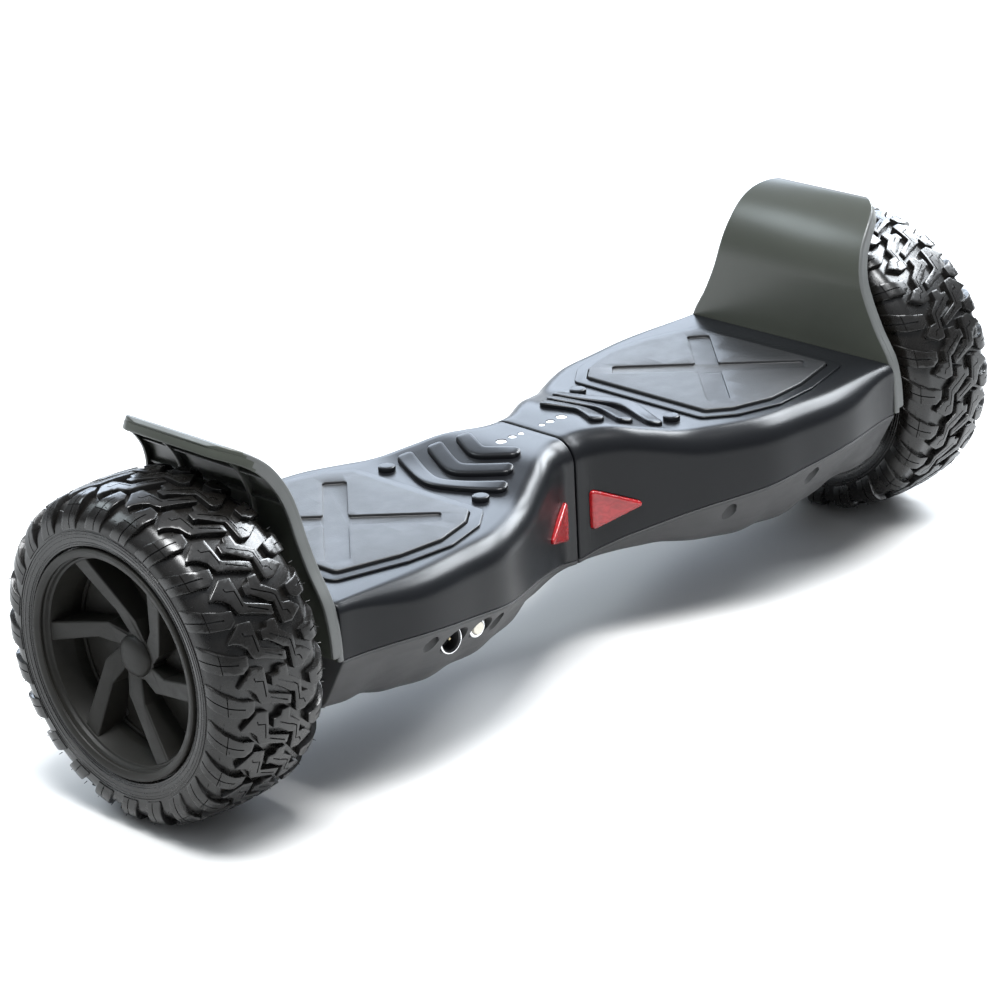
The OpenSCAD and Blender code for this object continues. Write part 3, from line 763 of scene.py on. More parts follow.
PITCHES = 24
PITCH = math.tau * TYRE_R / PITCHES
BLOCKS = [
    [(-5.5, 8.5), (12, 15), (17.5, 16.3), (19, 19), (20.5, 23.5), (24, 27), (28, 29), (33.5, 29.8),
     (20.5, 39.8), (12.5, 38.5), (11.5, 22), (10, 21), (0, 17.2), (-6, 14.6)],
    [(-10.5, 1.3), (-17, 0.6), (-27, 6.8), (-20, 12.5), (-14.5, 13.2), (-14.5, 21), (-5, 28), (-5, 35),
     (1.5, 35), (2.8, 31.5), (8, 31.2), (8.3, 25), (5, 24.5), (0, 21), (-5, 17), (-9, 15.5), (-9.5, 3)],
]
LUG = [(21.5, 20), (22.5, 13), (27, 10), (40, 12.5), (55, 18.5), (55, 36), (40, 26.5), (30, 22)]
SIPES = [
    [(-2.5, 12.3), (2, 14.5), (10, 18.5)],
    [(13.5, 20), (14.5, 30), (20, 31.5), (20.5, 33.5)],
    [(-17.5, 5), (-16, 8), (-12.5, 8.8), (-11.5, 19), (-9, 21), (-3, 24), (0, 25.8), (3, 27.5)],
]
LUG_SIPE = [(29, 16.3), (40, 19), (54, 25)]
MIRROR_SHIFT = 2.5


def tyre_profile():
    """(u, r) from the crown over the shoulder and down the sidewall to the rim."""
    points = [(u, TYRE_R - u * u / 400) for u in (k * 2.0 for k in range(14))]
    turn = [math.pi / 2 * k / 14 for k in range(1, 15)]
    points += [(26 + 16 * math.sin(a), TYRE_R - 18 + 16.3 * math.cos(a)) for a in turn]
    points += [(41.7, 87), (41.55, 84), (41.4, 81), (41, 78), (40.2, 75.6)]
    return [Vector(p) for p in points]


PROFILE = tyre_profile()
ARC = [0.0]
for k in range(1, len(PROFILE)):
    ARC.append(ARC[-1] + (PROFILE[k] - PROFILE[k - 1]).length)


def on_profile(s):
    """Point and outward normal, both (u, r), at distance s from the crown."""
    a = min(abs(s), ARC[-1] - 0.001)
    k = 1
    while ARC[k] < a:
        k += 1
    p, q = PROFILE[k - 1], PROFILE[k]
    spot = p + (q - p) * (a - ARC[k - 1]) / (ARC[k] - ARC[k - 1])
    before = PROFILE[max(k - 2, 0)]
    after = PROFILE[min(k + 1, len(PROFILE) - 1)]
    along = (after - before).normalized()
    normal = Vector((-along.y, along.x))
    sign = 1 if s >= 0 else -1
    return Vector((spot.x * sign, spot.y)), Vector((normal.x * sign, normal.y))


def tread_depth(s):
    a = abs(s)
    deep = 4.2 - 0.7 * min(a, 40) / 40
    return deep * max(0.0, min(1.0, (57.5 - a) / 17.5)) if a > 40 else deep


def on_tyre(s, t, h):
    spot, normal = on_profile(s)
    u, r = spot + normal * h
    phi = math.radians(35) + t / TYRE_R
    return Vector((WHEEL_X + u, -r * math.cos(phi), AXLE_Z + r * math.sin(phi)))


def flat(a, b, h):
    return (a, b, h)


def tread_pitch():
    """One pitch of blocks and lugs with their sipes, laid out flat and then bent round the tyre."""
    lugs = [LUG, [(-s, t + MIRROR_SHIFT) for s, t in LUG]]
    blocks = [prism("block", rounded(outline, 0.9, 2), flat, -5.5, 0, 0.55, 2) for outline in BLOCKS + lugs]
    tread = join("tread", blocks)
    grooves = SIPES + [LUG_SIPE, [(-s, t + MIRROR_SHIFT) for s, t in LUG_SIPE]]
    cuts = [prism("sipe", band(line, 0.42, 4), flat, -1.9, 1) for line in grooves]
    for s in (39.5, -39.5):
        ring = [(s - 0.45, 0.3), (s + 0.45, 0.3), (s, -0.55)]
        cuts.append(loft("mould line", [[(a, t, h) for a, h in ring] for t in (-5, 50)]))
    combine(tread, cuts)
    shade(tread, 24)
    bm = bmesh.new()
    bm.from_mesh(tread.data)
    lines = [(Vector((0, 1, 0)), 2.4 * k) for k in range(20)]
    lines += [(Vector((1, 0, 0)), 3.0 * k) for k in range(-19, 20)]
    for normal, offset in lines:
        parts = bm.verts[:] + bm.edges[:] + bm.faces[:]
        bmesh.ops.bisect_plane(bm, geom=parts, plane_co=normal * offset * MM, plane_no=normal, dist=1e-7)
    for vert in bm.verts:
        s, t, h = vert.co / MM
        deep = tread_depth(s)
        h = max(h, -deep - 0.8) if h < -0.1 else h * min(1, deep / 1.2)
        vert.co = on_tyre(s, t, h) * MM
    bm.to_mesh(tread.data)
    bm.free()
    return tread


def carcass():
    outer = [on_profile(s) for s in (66.0 * k / 44 for k in range(45))]
    side = [(spot - normal * tread_depth(66.0 * k / 44)) for k, (spot, normal) in enumerate(outer)]
    inner = [(39, 74.6), (37.2, 74.4), (37.2, 69.2), (29, 69.2), (31, 76), (33, 82), (33, 89), (27, 95),
             (18, 98), (8, 99)]
    loop = [tuple(p) for p in side] + inner
    closed = [(r, u) for u, r in loop] + [(r, -u) for u, r in reversed(loop[1:])]
    return lathe("carcass", closed, (WHEEL_X, 0, AXLE_Z), "X", 288)


def sidewall_lines():
    """Fine raised rings moulded round both sidewalls."""
    rings = []
    for s, size in ((56.4, 0.32), (58.2, 0.24), (60.4, 0.24), (63.4, 0.36), (64.8, 0.26)):
        for sign in (-1, 1):
            spot, _ = on_profile(sign * s)
            profile = [(spot.y + size * math.sin(a), spot.x + size * math.cos(a)) for a in turn_steps(8)]
            rings.append(lathe("line", profile, (WHEEL_X, 0, AXLE_Z), "X", 192))
    return join("lines", rings)


def vent_hairs(generator):
    hairs = []
    for k in range(PITCHES):
        for s, t in ((38, 15), (-38, 18.5), (27, 22), (-26, 24), (43, 32), (-43, 34.5)):
            base = t + k * PITCH + generator.uniform(-0.6, 0.6)
            length = generator.uniform(0.6, 1.4) if abs(s) < 30 else generator.uniform(1.0, 2.4)
            low, high = on_tyre(s, base, -1.5), on_tyre(s, base, min(length, 1.0 if abs(s) > 40 else length))
            axis = (high - low).normalized()
            side = axis.orthogonal().normalized() * 0.3
            turn = axis.cross(side)
            ring = [side * math.cos(a) + turn * math.sin(a) for a in turn_steps(6)]
            hairs.append(loft("hair", [[low + p for p in ring], [high + p * 0.6 for p in ring]]))
    return join("hairs", hairs)


def copies_round(piece, count):
    """count copies turned about the wheel's axle, in one mesh."""
    bm = bmesh.new()
    hub = Matrix.Translation((0, 0, AXLE_Z * MM))
    for k in range(count):
        start = len(bm.verts)
        bm.from_mesh(piece.data)
        bm.verts.ensure_lookup_table()
        turn = hub @ Matrix.Rotation(-math.tau * k / count, 4, "X") @ hub.inverted()
        bmesh.ops.transform(bm, matrix=turn, verts=bm.verts[start:])
    bm.to_mesh(piece.data)
    bm.free()
    return piece


def tyre(side):
    tread = copies_round(tread_pitch(), PITCHES)
    skin = shade(carcass(), 30)
    hairs = vent_hairs(random.Random(7))
    lines = shade(sidewall_lines(), 50)
    return across(join("tyre", [skin, tread, hairs, lines]), side)


# ---- wheel ----


def rim(side):
    profile = [(73.9, 37.2), (73.95, 40.6), (73.7, 41.4), (73.1, 41.9), (72.2, 42), (71.4, 41.8),
               (69.3, 41), (68.7, 40.6), (68.4, 40), (69, 39.4), (69, 37.6), (68, 36.8), (67.5, 35.6),
               (67.2, 35), (66.8, 34.7), (66.2, 34.5), (65.9, 34.2), (65.7, 33.2), (62.3, 20.8),
               (62, 19.6), (62, COVER_U), (50, COVER_U), (50, 6), (58.5, 6), (58.5, -34), (65.5, -34),
               (66.2, -40.6), (66.9, -41.6), (68, -42), (72.6, -42), (73.6, -41.6), (73.95, -40.8),
               (73.9, -37.2), (69, -37), (69, 37)]
    return across(shade(lathe("rim", profile, (WHEEL_X, 0, AXLE_Z), "X", 192), 26), side)


SPOKE = [(0, 12), (19.6, 18.4), (68, 8.5), (68, -4.5), (29.6, 5.9), (13.6, 4), (4, 0)]


def dish(r):
    """Height of the spokes' faces: low at the hub, and nearly level with the rim's ledge outside."""
    return HUB_H + (SPOKE_H - HUB_H) * min(max((r - 15) / 51, 0), 1)**0.85


def spoke_cover(side):
    centre = (WHEEL_X + SPOKE_U, 0, AXLE_Z)

    def dished(a, b, h):
        return (centre[0] + h * dish(math.hypot(a, b)) / SPOKE_H, a, centre[2] + b)

    hub = turned("hub", [(CAP_R + 2.2, 0), (CAP_R + 2, HUB_H - 1.4), (CAP_R + 1.7, HUB_H - 0.7),
                         (CAP_R + 1, HUB_H - 0.2), (CAP_R + 0.2, HUB_H), (0.4, HUB_H)], centre, "X", 96)
    others = []
    for k in range(6):
        outline = finer(rounded(spun(SPOKE, math.tau * k / 6), 1.6, 4), 6)
        others.append(prism("spoke", outline, dished, 0, SPOKE_H - 0.002 * (k + 1), 1.3, 4))
    combine(hub, others, "UNION")
    clip = turned("clip", [(61.6, -1), (61.7, 7.8), (65.75, SPOKE_H), (66, SPOKE_H + 2)], centre, "X", 192)
    combine(hub, [clip], "INTERSECT")
    ring = [(59, 0), (59, 1.4), (59.4, 1.9), (60.2, 2), (61, 1.9), (61.5, 1.5), (61.5, 0)]
    combine(hub, [lathe("ring", ring, centre, "X", 192)], "UNION")
    return across(shade(hub, 30), side)


def centre_cap(side):
    lip, rise = CAP_R - 0.5, CAP_H - 0.9
    dome = [(CAP_R, 0), (CAP_R, 0.4), (CAP_R - 0.15, 0.75)]
    turn = [math.pi / 2 * k / 16 for k in range(1, 16)]
    dome += [(lip * math.cos(a), 0.9 + rise * math.sin(a)) for a in turn]
    dome += [(0.3, CAP_H)]
    return across(shade(turned("cap", dome, (WHEEL_X + SPOKE_U + HUB_H, 0, AXLE_Z), "X", 96), 35), side)


# ---- socket and switch ----


def socket_ring():
    """A thin bright rim round a black funnel."""
    profile = [(0.2, -75.5), (6.6, -75.5), (6.6, -88.6), (7.2, -90.4), (7.9, -91), (8.35, -91.2),
               (8.5, -91.45), (8.7, -91.5), (9.1, -91.4), (9.35, -91.1), (9.4, -90.7), (9.4, -88.03),
               (8, -88.03), (8, -71.5), (0.2, -71.5)]
    middle = (socket_low + socket_high) / 2
    ring = shade(turned("socket", profile, (middle.x, 0, middle.z), "Y", 96), 30)
    ring.data.materials.append(LOOKS["socket_metal"])
    ring.data.materials.append(LOOKS["socket_plastic"])
    for face in ring.data.polygons:
        reach = math.hypot(face.center.x / MM - middle.x, face.center.z / MM - middle.z)
        face.material_index = 1 if reach < 8.3 else 0
    return ring


def switch_ring():
    profile = [(0.2, -83.5), (4.75, -83.5), (4.75, -89.9), (5.1, -90.4), (5.8, -90.5), (6.4, -90.4),
               (6.85, -90), (7, -89.4), (7, -88.03), (6, -88.03), (6, -75.5), (0.2, -75.5)]
    middle = (button_low + button_high) / 2
    return shade(turned("switch", profile, (middle.x, 0, middle.z), "Y", 96), 30)


def button_cap():
    profile = [(0.2, -91.95), (1.6, -92), (2.8, -92.15), (3.4, -92.2), (3.9, -92.1), (4.35, -91.75),
               (4.55, -91.3), (4.6, -90.8), (4.6, -86.4), (0.2, -86.4)]
    middle = (button_low + button_high) / 2
    return shade(turned("button", profile, (middle.x, 0, middle.z), "Y", 64), 30)


# ---- materials ----


class Shade:
    """A procedural material: a Principled shader with helpers for the textures that feed it."""

    def __init__(self, name, rough, metallic=0.0, **fixed):
        self.material = bpy.data.materials.new(name)
        self.material.use_nodes = True
        self.tree = self.material.node_tree
        self.shader = self.tree.nodes["Principled BSDF"]
        self.shader.inputs["Roughness"].default_value = rough
        self.shader.inputs["Metallic"].default_value = metallic
        for socket, value in fixed.items():
            self.shader.inputs[socket.replace("_", " ")].default_value = value
        self.coords = self.add("ShaderNodeTexCoord").outputs["Object"]
        self.bump = None

    def add(self, kind, **settings):
        node = self.tree.nodes.new(kind)
        for key, value in settings.items():
            setattr(node, key, value)
        return node

    def link(self, out, socket):
        self.tree.links.new(out, socket)

    def stretched(self, scale):
        mapping = self.add("ShaderNodeMapping")
        mapping.inputs["Scale"].default_value = scale
        self.link(self.coords, mapping.inputs["Vector"])
        return mapping.outputs["Vector"]

    def noise(self, scale, detail=3.0, roughness=0.55, stretch=None, distortion=0.0):
        node = self.add("ShaderNodeTexNoise")
        node.inputs["Scale"].default_value = scale
        node.inputs["Detail"].default_value = detail
        node.inputs["Roughness"].default_value = roughness
        node.inputs["Distortion"].default_value = distortion
        self.link(self.stretched(stretch) if stretch else self.coords, node.inputs["Vector"])
        return node.outputs["Fac"]

    def cells(self, scale, feature="F1"):
        node = self.add("ShaderNodeTexVoronoi", feature=feature)
        node.inputs["Scale"].default_value = scale
        self.link(self.coords, node.inputs["Vector"])
        return node.outputs["Distance"]

    def ramp(self, value, stops):
        """Colour stops as (position, colour)."""
        node = self.add("ShaderNodeValToRGB")
        ramp = node.color_ramp
        while len(ramp.elements) < len(stops):
            ramp.elements.new(0.5)
        for element, (position, colour) in zip(ramp.elements, stops):
            element.position = position
            element.color = (*colour, 1)
        self.link(value, node.inputs["Fac"])
        return node.outputs["Color"]

    def remap(self, value, low, high, start=0.0, end=1.0):
        node = self.add("ShaderNodeMapRange")
        for socket, number in (("From Min", start), ("From Max", end), ("To Min", low), ("To Max", high)):
            node.inputs[socket].default_value = number
        self.link(value, node.inputs["Value"])
        return node.outputs["Result"]

    def blend(self, amount, first, second, kind="MIX"):
        """Mixes two colours; each is a socket or a plain colour."""
        node = self.add("ShaderNodeMix", data_type="RGBA", blend_type=kind)
        self.link(amount, node.inputs[0])
        for socket, colour in ((node.inputs[6], first), (node.inputs[7], second)):
            if isinstance(colour, tuple):
                socket.default_value = (*colour, 1)
            else:
                self.link(colour, socket)
        return node.outputs[2]

    def colour(self, out):
        self.link(out, self.shader.inputs["Base Color"])

    def roughness(self, value, low, high, start=0.3, end=0.7):
        self.link(self.remap(value, low, high, start, end), self.shader.inputs["Roughness"])

    def relief(self, value, depth, strength=1.0):
        """Adds a bump of that depth in metres on top of the ones before it."""
        node = self.add("ShaderNodeBump")
        node.inputs["Distance"].default_value = depth
        node.inputs["Strength"].default_value = strength
        self.link(value, node.inputs["Height"])
        if self.bump:
            self.link(self.bump, node.inputs["Normal"])
        self.bump = node.outputs["Normal"]
        self.link(self.bump, self.shader.inputs["Normal"])

    def edges(self):
        """1 on convex edges, 0 on flats: worn edges on most finishes, painted highlight on the lens bevels."""
        pointed = self.add("ShaderNodeNewGeometry").outputs["Pointiness"]
        return self.remap(pointed, 0.0, 1.0, 0.53, 0.62)


def tinted(colour, by):
    return tuple(min(1.0, c * by) for c in colour)


def plastic(name, colour, rough, grain=0.00004, grain_scale=2600, wear=1.9, spread=0.07, **fixed):
    """Moulded plastic: fine spark grain, faint mottling, handling marks and paler worn edges."""
    s = Shade(name, rough, **fixed)
    mottle = s.ramp(s.noise(9, 4), [(0.3, tinted(colour, 0.88)), (0.7, tinted(colour, 1.12))])
    marks = s.noise(35, 6, 0.7, (1, 1, 2.4), 0.6)
    rubbed = s.remap(marks, 0.0, 0.04, 0.58, 0.75)
    mottle = s.blend(rubbed, mottle, tinted(colour, 1.5))
    s.colour(s.blend(s.remap(s.edges(), 0.0, 0.5), mottle, tinted(colour, wear)))
    s.roughness(marks, rough - spread, rough + spread)
    s.relief(s.cells(grain_scale), grain, 0.5)
    s.relief(s.noise(420, 3), grain * 1.6, 0.3)
    return s.material


def metal(name, colour, rough, scale=60, stretch=(1, 1, 1), wear=1.25, scratch=0.00002, **fixed):
    """Bare or plated metal: drawn scratches, smudges that change the roughness, brighter edges."""
    s = Shade(name, rough, 1.0, **fixed)
    smudge = s.noise(scale, 5, 0.6)
    base = s.ramp(smudge, [(0.3, tinted(colour, 0.82)), (0.75, tinted(colour, 1.08))])
    s.colour(s.blend(s.edges(), base, tinted(colour, wear)))
    s.roughness(smudge, max(rough - 0.06, 0.03), rough + 0.12)
    s.relief(s.noise(900, 4, 0.7, stretch), scratch, 0.6)
    return s.material


def shell_black():
    return plastic("shell_black", (0.0048, 0.0052, 0.0062), 0.29, 0.00002, 3200, 2.4, 0.015,
                   Specular_IOR_Level=0.21)


def shell_grey():
    return plastic("shell_grey", (0.046, 0.046, 0.047), 0.52, 0.00005, 2200, 1.5, Specular_IOR_Level=0.25)


def fender_paint():
    return plastic("fender_paint", (0.036, 0.039, 0.032), 0.30, 0.00002, 3000, 1.9, 0.015,
                   Specular_IOR_Level=0.42)


def rim_paint():
    return plastic("rim_paint", (0.0125, 0.0118, 0.0100), 0.48, 0.00005, 1800, 2.0, 0.08,
                   Specular_IOR_Level=0.25)


def tyre_rubber():
    s = Shade("tyre_rubber", 0.3, Specular_IOR_Level=0.46)
    base = s.ramp(s.noise(14, 5, 0.6), [(0.3, (0.0032, 0.0029, 0.0026)), (0.7, (0.0056, 0.0048, 0.0040))])
    dust = s.remap(s.noise(60, 6, 0.7), 0.0, 0.35, 0.58, 0.8)
    base = s.blend(dust, base, (0.012, 0.0098, 0.0076))
    s.colour(s.blend(s.edges(), base, (0.015, 0.015, 0.015)))
    s.roughness(s.noise(48, 5, 0.65), 0.20, 0.34)
    s.relief(s.noise(1500, 3), 0.00006, 0.5)
    s.relief(s.noise(160, 4), 0.00018, 0.25)
    return s.material


def mat_rubber():
    """Fine leather-like grain in satin black rubber, with faint dusty scuffs."""
    s = Shade("mat_rubber", 0.48, Specular_IOR_Level=0.58)
    base = s.ramp(s.noise(22, 5, 0.6), [(0.3, (0.0062, 0.0065, 0.0072)), (0.72, (0.0072, 0.0075, 0.0082))])
    scuff = s.remap(s.noise(40, 7, 0.75, (1, 2.2, 1), 0.8), 0.0, 0.06, 0.62, 0.85)
    base = s.blend(scuff, base, (0.016, 0.016, 0.017))
    s.colour(s.blend(s.edges(), base, (0.02, 0.02, 0.022)))
    s.roughness(s.noise(70, 5), 0.45, 0.52)
    s.relief(s.cells(1150), 0.00012, 0.5)
    s.relief(s.noise(2600, 2), 0.00004, 0.5)
    return s.material


def lens(name, colour, tint, rough, through):
    """A moulded lens: clear plastic with fine prisms on its back, and a painted highlight that makes its bevels
    paler.
    """
    s = Shade(name, rough, 0.0, Transmission_Weight=through, IOR=1.49, Coat_Weight=0.35, Coat_Roughness=0.07)
    zigzag = s.add("ShaderNodeTexWave", wave_profile="TRI", bands_direction="Z")
    zigzag.inputs["Scale"].default_value = 70
    zigzag.inputs["Distortion"].default_value = 9
    zigzag.inputs["Detail"].default_value = 2.0
    zigzag.inputs["Detail Scale"].default_value = 2.5
    s.link(s.coords, zigzag.inputs["Vector"])
    patchy = s.ramp(s.noise(45, 4), [(0.35, colour), (0.65, tint)])
    prisms = s.blend(s.remap(zigzag.outputs["Fac"], 0.0, 0.4), patchy, tinted(colour, 0.5))
    # Painted highlight: the bevel edges blend to a paler tint.
    s.colour(s.blend(s.remap(s.edges(), 0.0, 0.6), prisms, tinted(tint, 1.25)))
    s.roughness(s.noise(90, 5), rough, rough + 0.12)
    s.relief(zigzag.outputs["Fac"], 0.0003, 0.3)
    return s.material


def reflector_foil(name, colour, bright):
    s = Shade(name, 0.22, 0.85)
    s.colour(s.ramp(s.cells(190), [(0.1, bright), (0.6, colour)]))
    s.roughness(s.noise(120, 3), 0.12, 0.34)
    s.relief(s.cells(420), 0.0006, 0.6)
    return s.material


def lit_white():
    s = Shade("light_white", 0.35, 0.0, Emission_Strength=0.35, Emission_Color=(0.9, 0.95, 1.0, 1))
    s.colour(s.ramp(s.noise(300, 3), [(0.3, (0.60, 0.63, 0.64)), (0.7, (0.68, 0.70, 0.70))]))
    s.roughness(s.noise(500, 3), 0.22, 0.45)
    s.relief(s.noise(1800, 2), 0.00003, 0.4)
    return s.material


def circuit_board():
    """Solder mask with copper tracks under it."""
    s = Shade("circuit_board", 0.35, 0.0, Coat_Weight=0.4, Coat_Roughness=0.2)
    tracks = s.remap(s.cells(260, "DISTANCE_TO_EDGE"), 1.0, 0.0, 0.02, 0.06)
    mask = s.ramp(s.noise(25, 3), [(0.3, (0.006, 0.05, 0.02)), (0.7, (0.01, 0.08, 0.03))])
    s.colour(s.blend(tracks, mask, (0.03, 0.17, 0.06)))
    s.roughness(s.noise(200, 3), 0.25, 0.5)
    s.relief(tracks, 0.00004, 0.6)
    return s.material


def windings():
    """Enamelled copper wire, strand beside strand."""
    s = Shade("copper", 0.28, 1.0)
    wave = s.add("ShaderNodeTexWave", bands_direction="DIAGONAL")
    wave.inputs["Scale"].default_value = 260
    wave.inputs["Distortion"].default_value = 1.2
    s.link(s.coords, wave.inputs["Vector"])
    s.colour(s.ramp(wave.outputs["Fac"], [(0.1, (0.20, 0.06, 0.02)), (0.7, (0.72, 0.30, 0.13))]))
    s.roughness(s.noise(120, 3), 0.2, 0.42)
    s.relief(wave.outputs["Fac"], 0.00025, 0.8)
    return s.material


def battery_wrap():
    s = Shade("battery_wrap", 0.3, 0.0, Coat_Weight=0.5, Coat_Roughness=0.15)
    s.colour(s.ramp(s.noise(16, 4), [(0.3, (0.01, 0.05, 0.20)), (0.7, (0.02, 0.08, 0.30))]))
    s.roughness(s.noise(60, 5), 0.18, 0.42)
    s.relief(s.noise(40, 4, 0.7, (1, 3, 1)), 0.0006, 0.4)
    return s.material


def floor_paper():
    s = Shade("floor_paper", 0.9)
    s.colour(s.ramp(s.noise(0.8, 3), [(0.3, (0.50, 0.495, 0.485)), (0.7, (0.53, 0.525, 0.515))]))
    s.relief(s.noise(240, 3), 0.0002, 0.1)
    return s.material


LOOKS = {
    "shell_black": shell_black(),
    "shell_grey": shell_grey(),
    "fender_paint": fender_paint(),
    "rim_paint": rim_paint(),
    "tyre_rubber": tyre_rubber(),
    "mat_rubber": mat_rubber(),
    "lamp_red": lens("lamp_red", (0.30, 0.004, 0.006), (0.42, 0.016, 0.020), 0.14, 0.25),
    "lamp_clear": lens("lamp_clear", (0.62, 0.64, 0.66), (0.72, 0.73, 0.74), 0.08, 0.75),
    "light_white": lit_white(),
    "circuit_board": circuit_board(),
    "copper": windings(),
    "battery_wrap": battery_wrap(),
    "cast_frame": metal("cast_frame", (0.46, 0.46, 0.47), 0.5, 40, (1, 1, 1), 1.2, 0.00012),
    "steel": metal("steel", (0.62, 0.62, 0.63), 0.28, 60, (6, 1, 1)),
    "screw_steel": metal("screw_steel", (0.16, 0.16, 0.165), 0.36, 200),
    "magnet": metal("magnet", (0.50, 0.49, 0.47), 0.3, 90),
    "bush_bronze": metal("bush_bronze", (0.60, 0.40, 0.20), 0.38, 80),
    "socket_metal": metal("socket_metal", (0.74, 0.75, 0.76), 0.16, 120, (1, 1, 1), 1.15, 0.000008),
    "socket_plastic": plastic("socket_plastic", (0.012, 0.012, 0.013), 0.42, 0.00002, 3000),
    "contact_brass": metal("contact_brass", (0.62, 0.52, 0.33), 0.3, 200),
    "button_metal": metal("button_metal", (0.60, 0.57, 0.50), 0.32, 150, (1, 1, 1), 1.1, 0.000008),
}
# A paler copy of the fender paint, used as a painted highlight on the plate's edges.
EDGE_HIGHLIGHT = plastic("fender_edge", (0.075, 0.078, 0.076), 0.38, 0.00002, 3000, 1.4)
RED_FOIL = reflector_foil("red_foil", (0.30, 0.006, 0.012), (0.80, 0.14, 0.17))
WHITE_FOIL = reflector_foil("white_foil", (0.35, 0.36, 0.38), (0.95, 0.96, 0.98))


def place(piece, name, body, slot, *nodes, look=None):
    """Names a piece, gives it its finish and its body, and lets it stand for its CAD nodes."""
    piece.name = name
    if look or not any(piece.data.materials):
        piece.data.materials.clear()
        piece.data.materials.append(look or LOOKS[slot])
    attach(piece, body)
    if nodes:
        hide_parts(*nodes)
    return piece


def paint_edge_highlight(plate):
    """Paints a highlight on the fender: its narrow edge faces and tip get a paler material that stands in for the
    light they catch.
    """
    plate.data.materials.clear()
    plate.data.materials.append(LOOKS["fender_paint"])
    plate.data.materials.append(EDGE_HIGHLIGHT)
    for face in plate.data.polygons:
        z = face.center.z / MM
        half = curve(min(max(z, FENDER_FOOT), FENDER_TOP), FENDER_LINE)
        corner = z > CURL.y + FENDER_R * math.sin(FENDER_TURN) - 1.6
        face.material_index = 1 if abs(face.center.y) / MM > half - 1.9 or corner else 0
    return plate


def half(side):
    """One foot platform: shells, fender, lamps, lights and mat."""
    on = side + "_half"
    place(top_shell(side), side + "_top_skin", on, "shell_black", side + "_top_shell")
    place(bottom_shell(side), side + "_bottom_skin", on, "shell_grey", side + "_bottom_shell")
    place(paint_edge_highlight(fender(side)), side + "_fender_plate", on, "fender_paint", side + "_fender")
    place(lamp(side, on_rear_wall), side + "_tail_lens", on, "lamp_red", side + "_tail_lamp")
    place(lamp(side, on_front_wall), side + "_head_lens", on, "lamp_clear", side + "_head_lamp")
    place(reflector(side, on_rear_wall), side + "_tail_reflector", on, "lamp_red", look=RED_FOIL)
    place(reflector(side, on_front_wall), side + "_head_reflector", on, "lamp_clear", look=WHITE_FOIL)
    place(status_lights(side), side + "_status_lenses", on, "light_white", side + "_status_lights")
    place(foot_mat(side), side + "_mat_pad", side + "_mat", "mat_rubber", side + "_foot_mat")
    place(shell_screws(side), side + "_shell_screws", on, "screw_steel", side + "_screws")
    place(lid_screws(side), side + "_lid_screws", on, "screw_steel")


def wheel(side):
    on = side + "_wheel"
    place(tyre(side), side + "_tyre_tread", on, "tyre_rubber", side + "_tyre")
    place(rim(side), side + "_rim_shell", on, "rim_paint", side + "_rim")
    place(spoke_cover(side), side + "_spokes", on, "rim_paint", side + "_spoke_cover")
    place(centre_cap(side), side + "_cap", on, "rim_paint", side + "_centre_cap")


SOFTENED = ("inner_cover", "outer_cover", "axle", "axle_clamp", "frame", "cover_screws", "charge_insert")


def dress_frame():
    """Every CAD node that still shows gets its procedural finish, and a small bevel where it helps."""
    words = {
        "frame": "cast_frame", "gyro_board": "circuit_board", "axle": "steel", "axle_clamp": "cast_frame",
        "cover_screws": "screw_steel", "stator": "steel", "windings": "copper",
        "bearing_inner_rings": "steel", "bearing_balls": "steel", "bearing_outer_rings": "steel",
        "magnets": "magnet", "inner_cover": "rim_paint", "outer_cover": "rim_paint",
        "pivot_tube": "steel", "pivot_bushes": "bush_bronze", "twist_stop_pin": "screw_steel",
        "battery_pack": "battery_wrap", "main_board": "circuit_board", "charge_insert": "socket_plastic",
        "charge_contacts": "contact_brass",
    }
    for name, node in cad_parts.items():
        if node.hide_render:
            continue
        short = name.replace("left_", "").replace("right_", "")
        node.data.materials.clear()
        node.data.materials.append(LOOKS[words[short]])
        if short in SOFTENED:
            soft = node.modifiers.new("edge", "BEVEL")
            soft.width, soft.segments, soft.limit_method = 0.0003, 2, "ANGLE"
            soft.angle_limit = math.radians(50)


# ---- studio ----


def soft_light(name, spot, aim, size, power, colour=(1, 1, 1)):
    data = bpy.data.lights.new(name, "AREA")
    data.shape, data.size, data.size_y = "RECTANGLE", size[0], size[1]
    data.energy, data.color = power, colour
    light = bpy.data.objects.new(name, data)
    light.location = spot
    light.rotation_euler = (Vector(aim) - Vector(spot)).to_track_quat("-Z", "Y").to_euler()
    bpy.context.collection.objects.link(light)


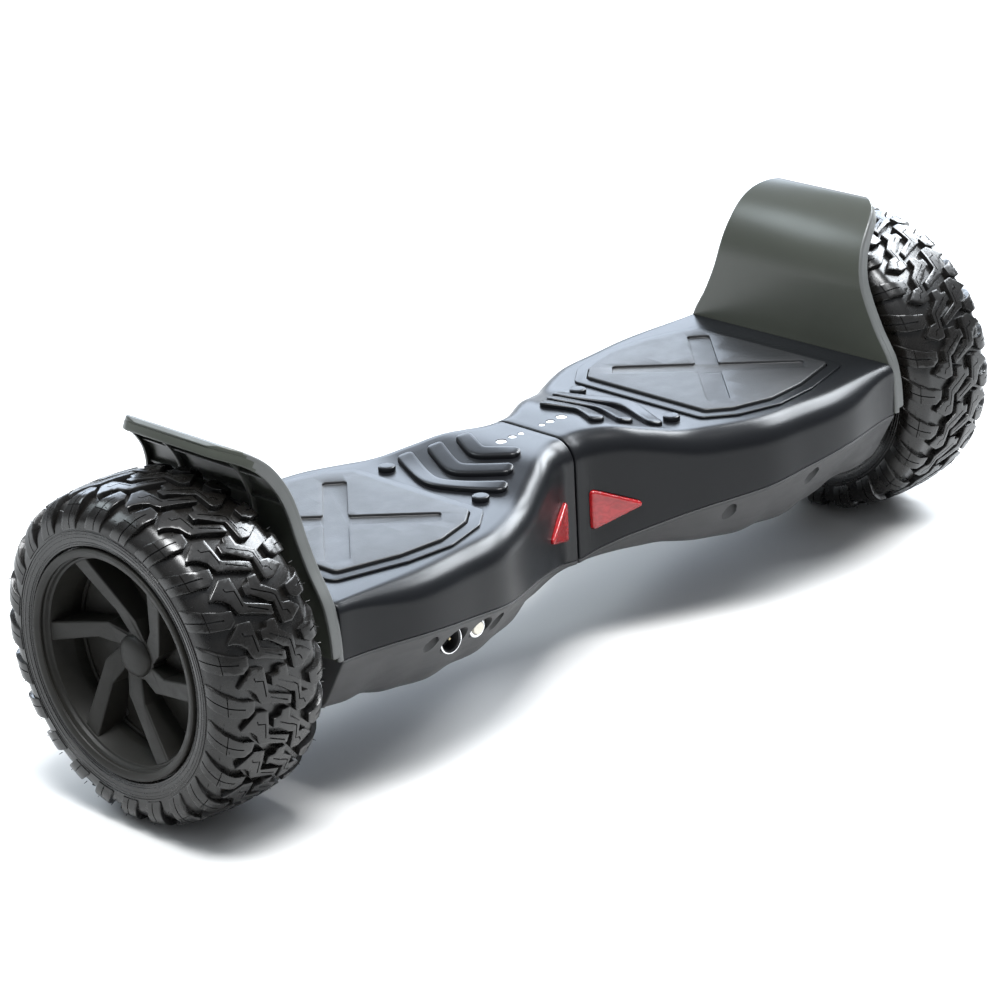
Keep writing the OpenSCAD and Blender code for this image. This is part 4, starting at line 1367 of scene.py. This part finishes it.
def studio():
    floor = make("floor", [(-12, -12, 0), (12, -12, 0), (12, 12, 0), (-12, 12, 0)], [(0, 1, 2, 3)], 1)
    floor.location.z = -0.0004
    floor.data.materials.append(floor_paper())
    soft_light("key", (-0.5, -0.4, 2.3), (0, 0, 0.1), (1.2, 0.8), 115, (0.97, 0.985, 1.0))
    soft_light("left_box", (-1.3, 2.0, 2.2), (0.2, 0, 0.15), (1.5, 0.9), 36, (0.84, 0.95, 1.0))
    soft_light("sky_panel", (2.7, 2.8, 1.7), (0, 0, 0.1), (4.2, 1.9), 165, (0.74, 0.85, 1.0))
    soft_light("edge_panel", (2.1, -0.2, 2.2), (-0.1, 0, 0.1), (2.1, 0.65), 150, (0.90, 0.95, 1.0))
    soft_light("right_box", (2.9, 0.45, 1.35), (-0.1, 0, 0.12), (1.2, 0.7), 64, (0.90, 0.95, 1.0))
    world = bpy.data.worlds.new("studio")
    world.use_nodes = True
    tree = world.node_tree
    direction = tree.nodes.new("ShaderNodeTexCoord").outputs["Generated"]
    split = tree.nodes.new("ShaderNodeSeparateXYZ")
    tree.links.new(direction, split.inputs["Vector"])
    height = tree.nodes.new("ShaderNodeMapRange")
    for socket, value in (("From Min", 0.0), ("From Max", 0.8), ("To Min", 0.18), ("To Max", 0.75)):
        height.inputs[socket].default_value = value
    tree.links.new(split.outputs["Z"], height.inputs["Value"])
    tree.links.new(height.outputs["Result"], tree.nodes["Background"].inputs["Strength"])
    tree.nodes["Background"].inputs["Color"].default_value = (0.88, 0.93, 1.0, 1)
    bpy.context.scene.world = world
    bpy.context.scene.view_settings.view_transform = "Standard"


CAMERA_AT = (-1.6060, -1.5888, 1.0001)
YAW, PITCH_DOWN, ROLL, LENS = 44.740, -21.723, -2.850, 131.35


def camera():
    """The photograph's viewpoint: high over the rear left wheel."""
    yaw, pitch, roll = (math.radians(a) for a in (YAW, PITCH_DOWN, ROLL))
    ahead = Vector((math.sin(yaw) * math.cos(pitch), math.cos(yaw) * math.cos(pitch), math.sin(pitch)))
    right = Vector((math.cos(yaw), -math.sin(yaw), 0))
    up = right.cross(ahead)
    turned_right = right * math.cos(roll) + up * math.sin(roll)
    turned_up = up * math.cos(roll) - right * math.sin(roll)
    data = bpy.data.cameras.new("camera")
    data.lens, data.sensor_width = LENS, 36
    eye = bpy.data.objects.new("camera", data)
    eye.matrix_world = Matrix((turned_right, turned_up, -ahead)).transposed().to_4x4()
    eye.location = CAMERA_AT
    bpy.context.collection.objects.link(eye)
    bpy.context.scene.camera = eye


for SIDE in SIDES:
    half(SIDE)
    wheel(SIDE)
place(socket_ring(), "socket_ring", "left_half", "socket_metal", "charge_socket")
place(switch_ring(), "switch_ring", "left_half", "socket_metal", "power_switch")
place(button_cap(), "button_cap", "button", "button_metal", "power_button")
dress_frame()
studio()
camera()
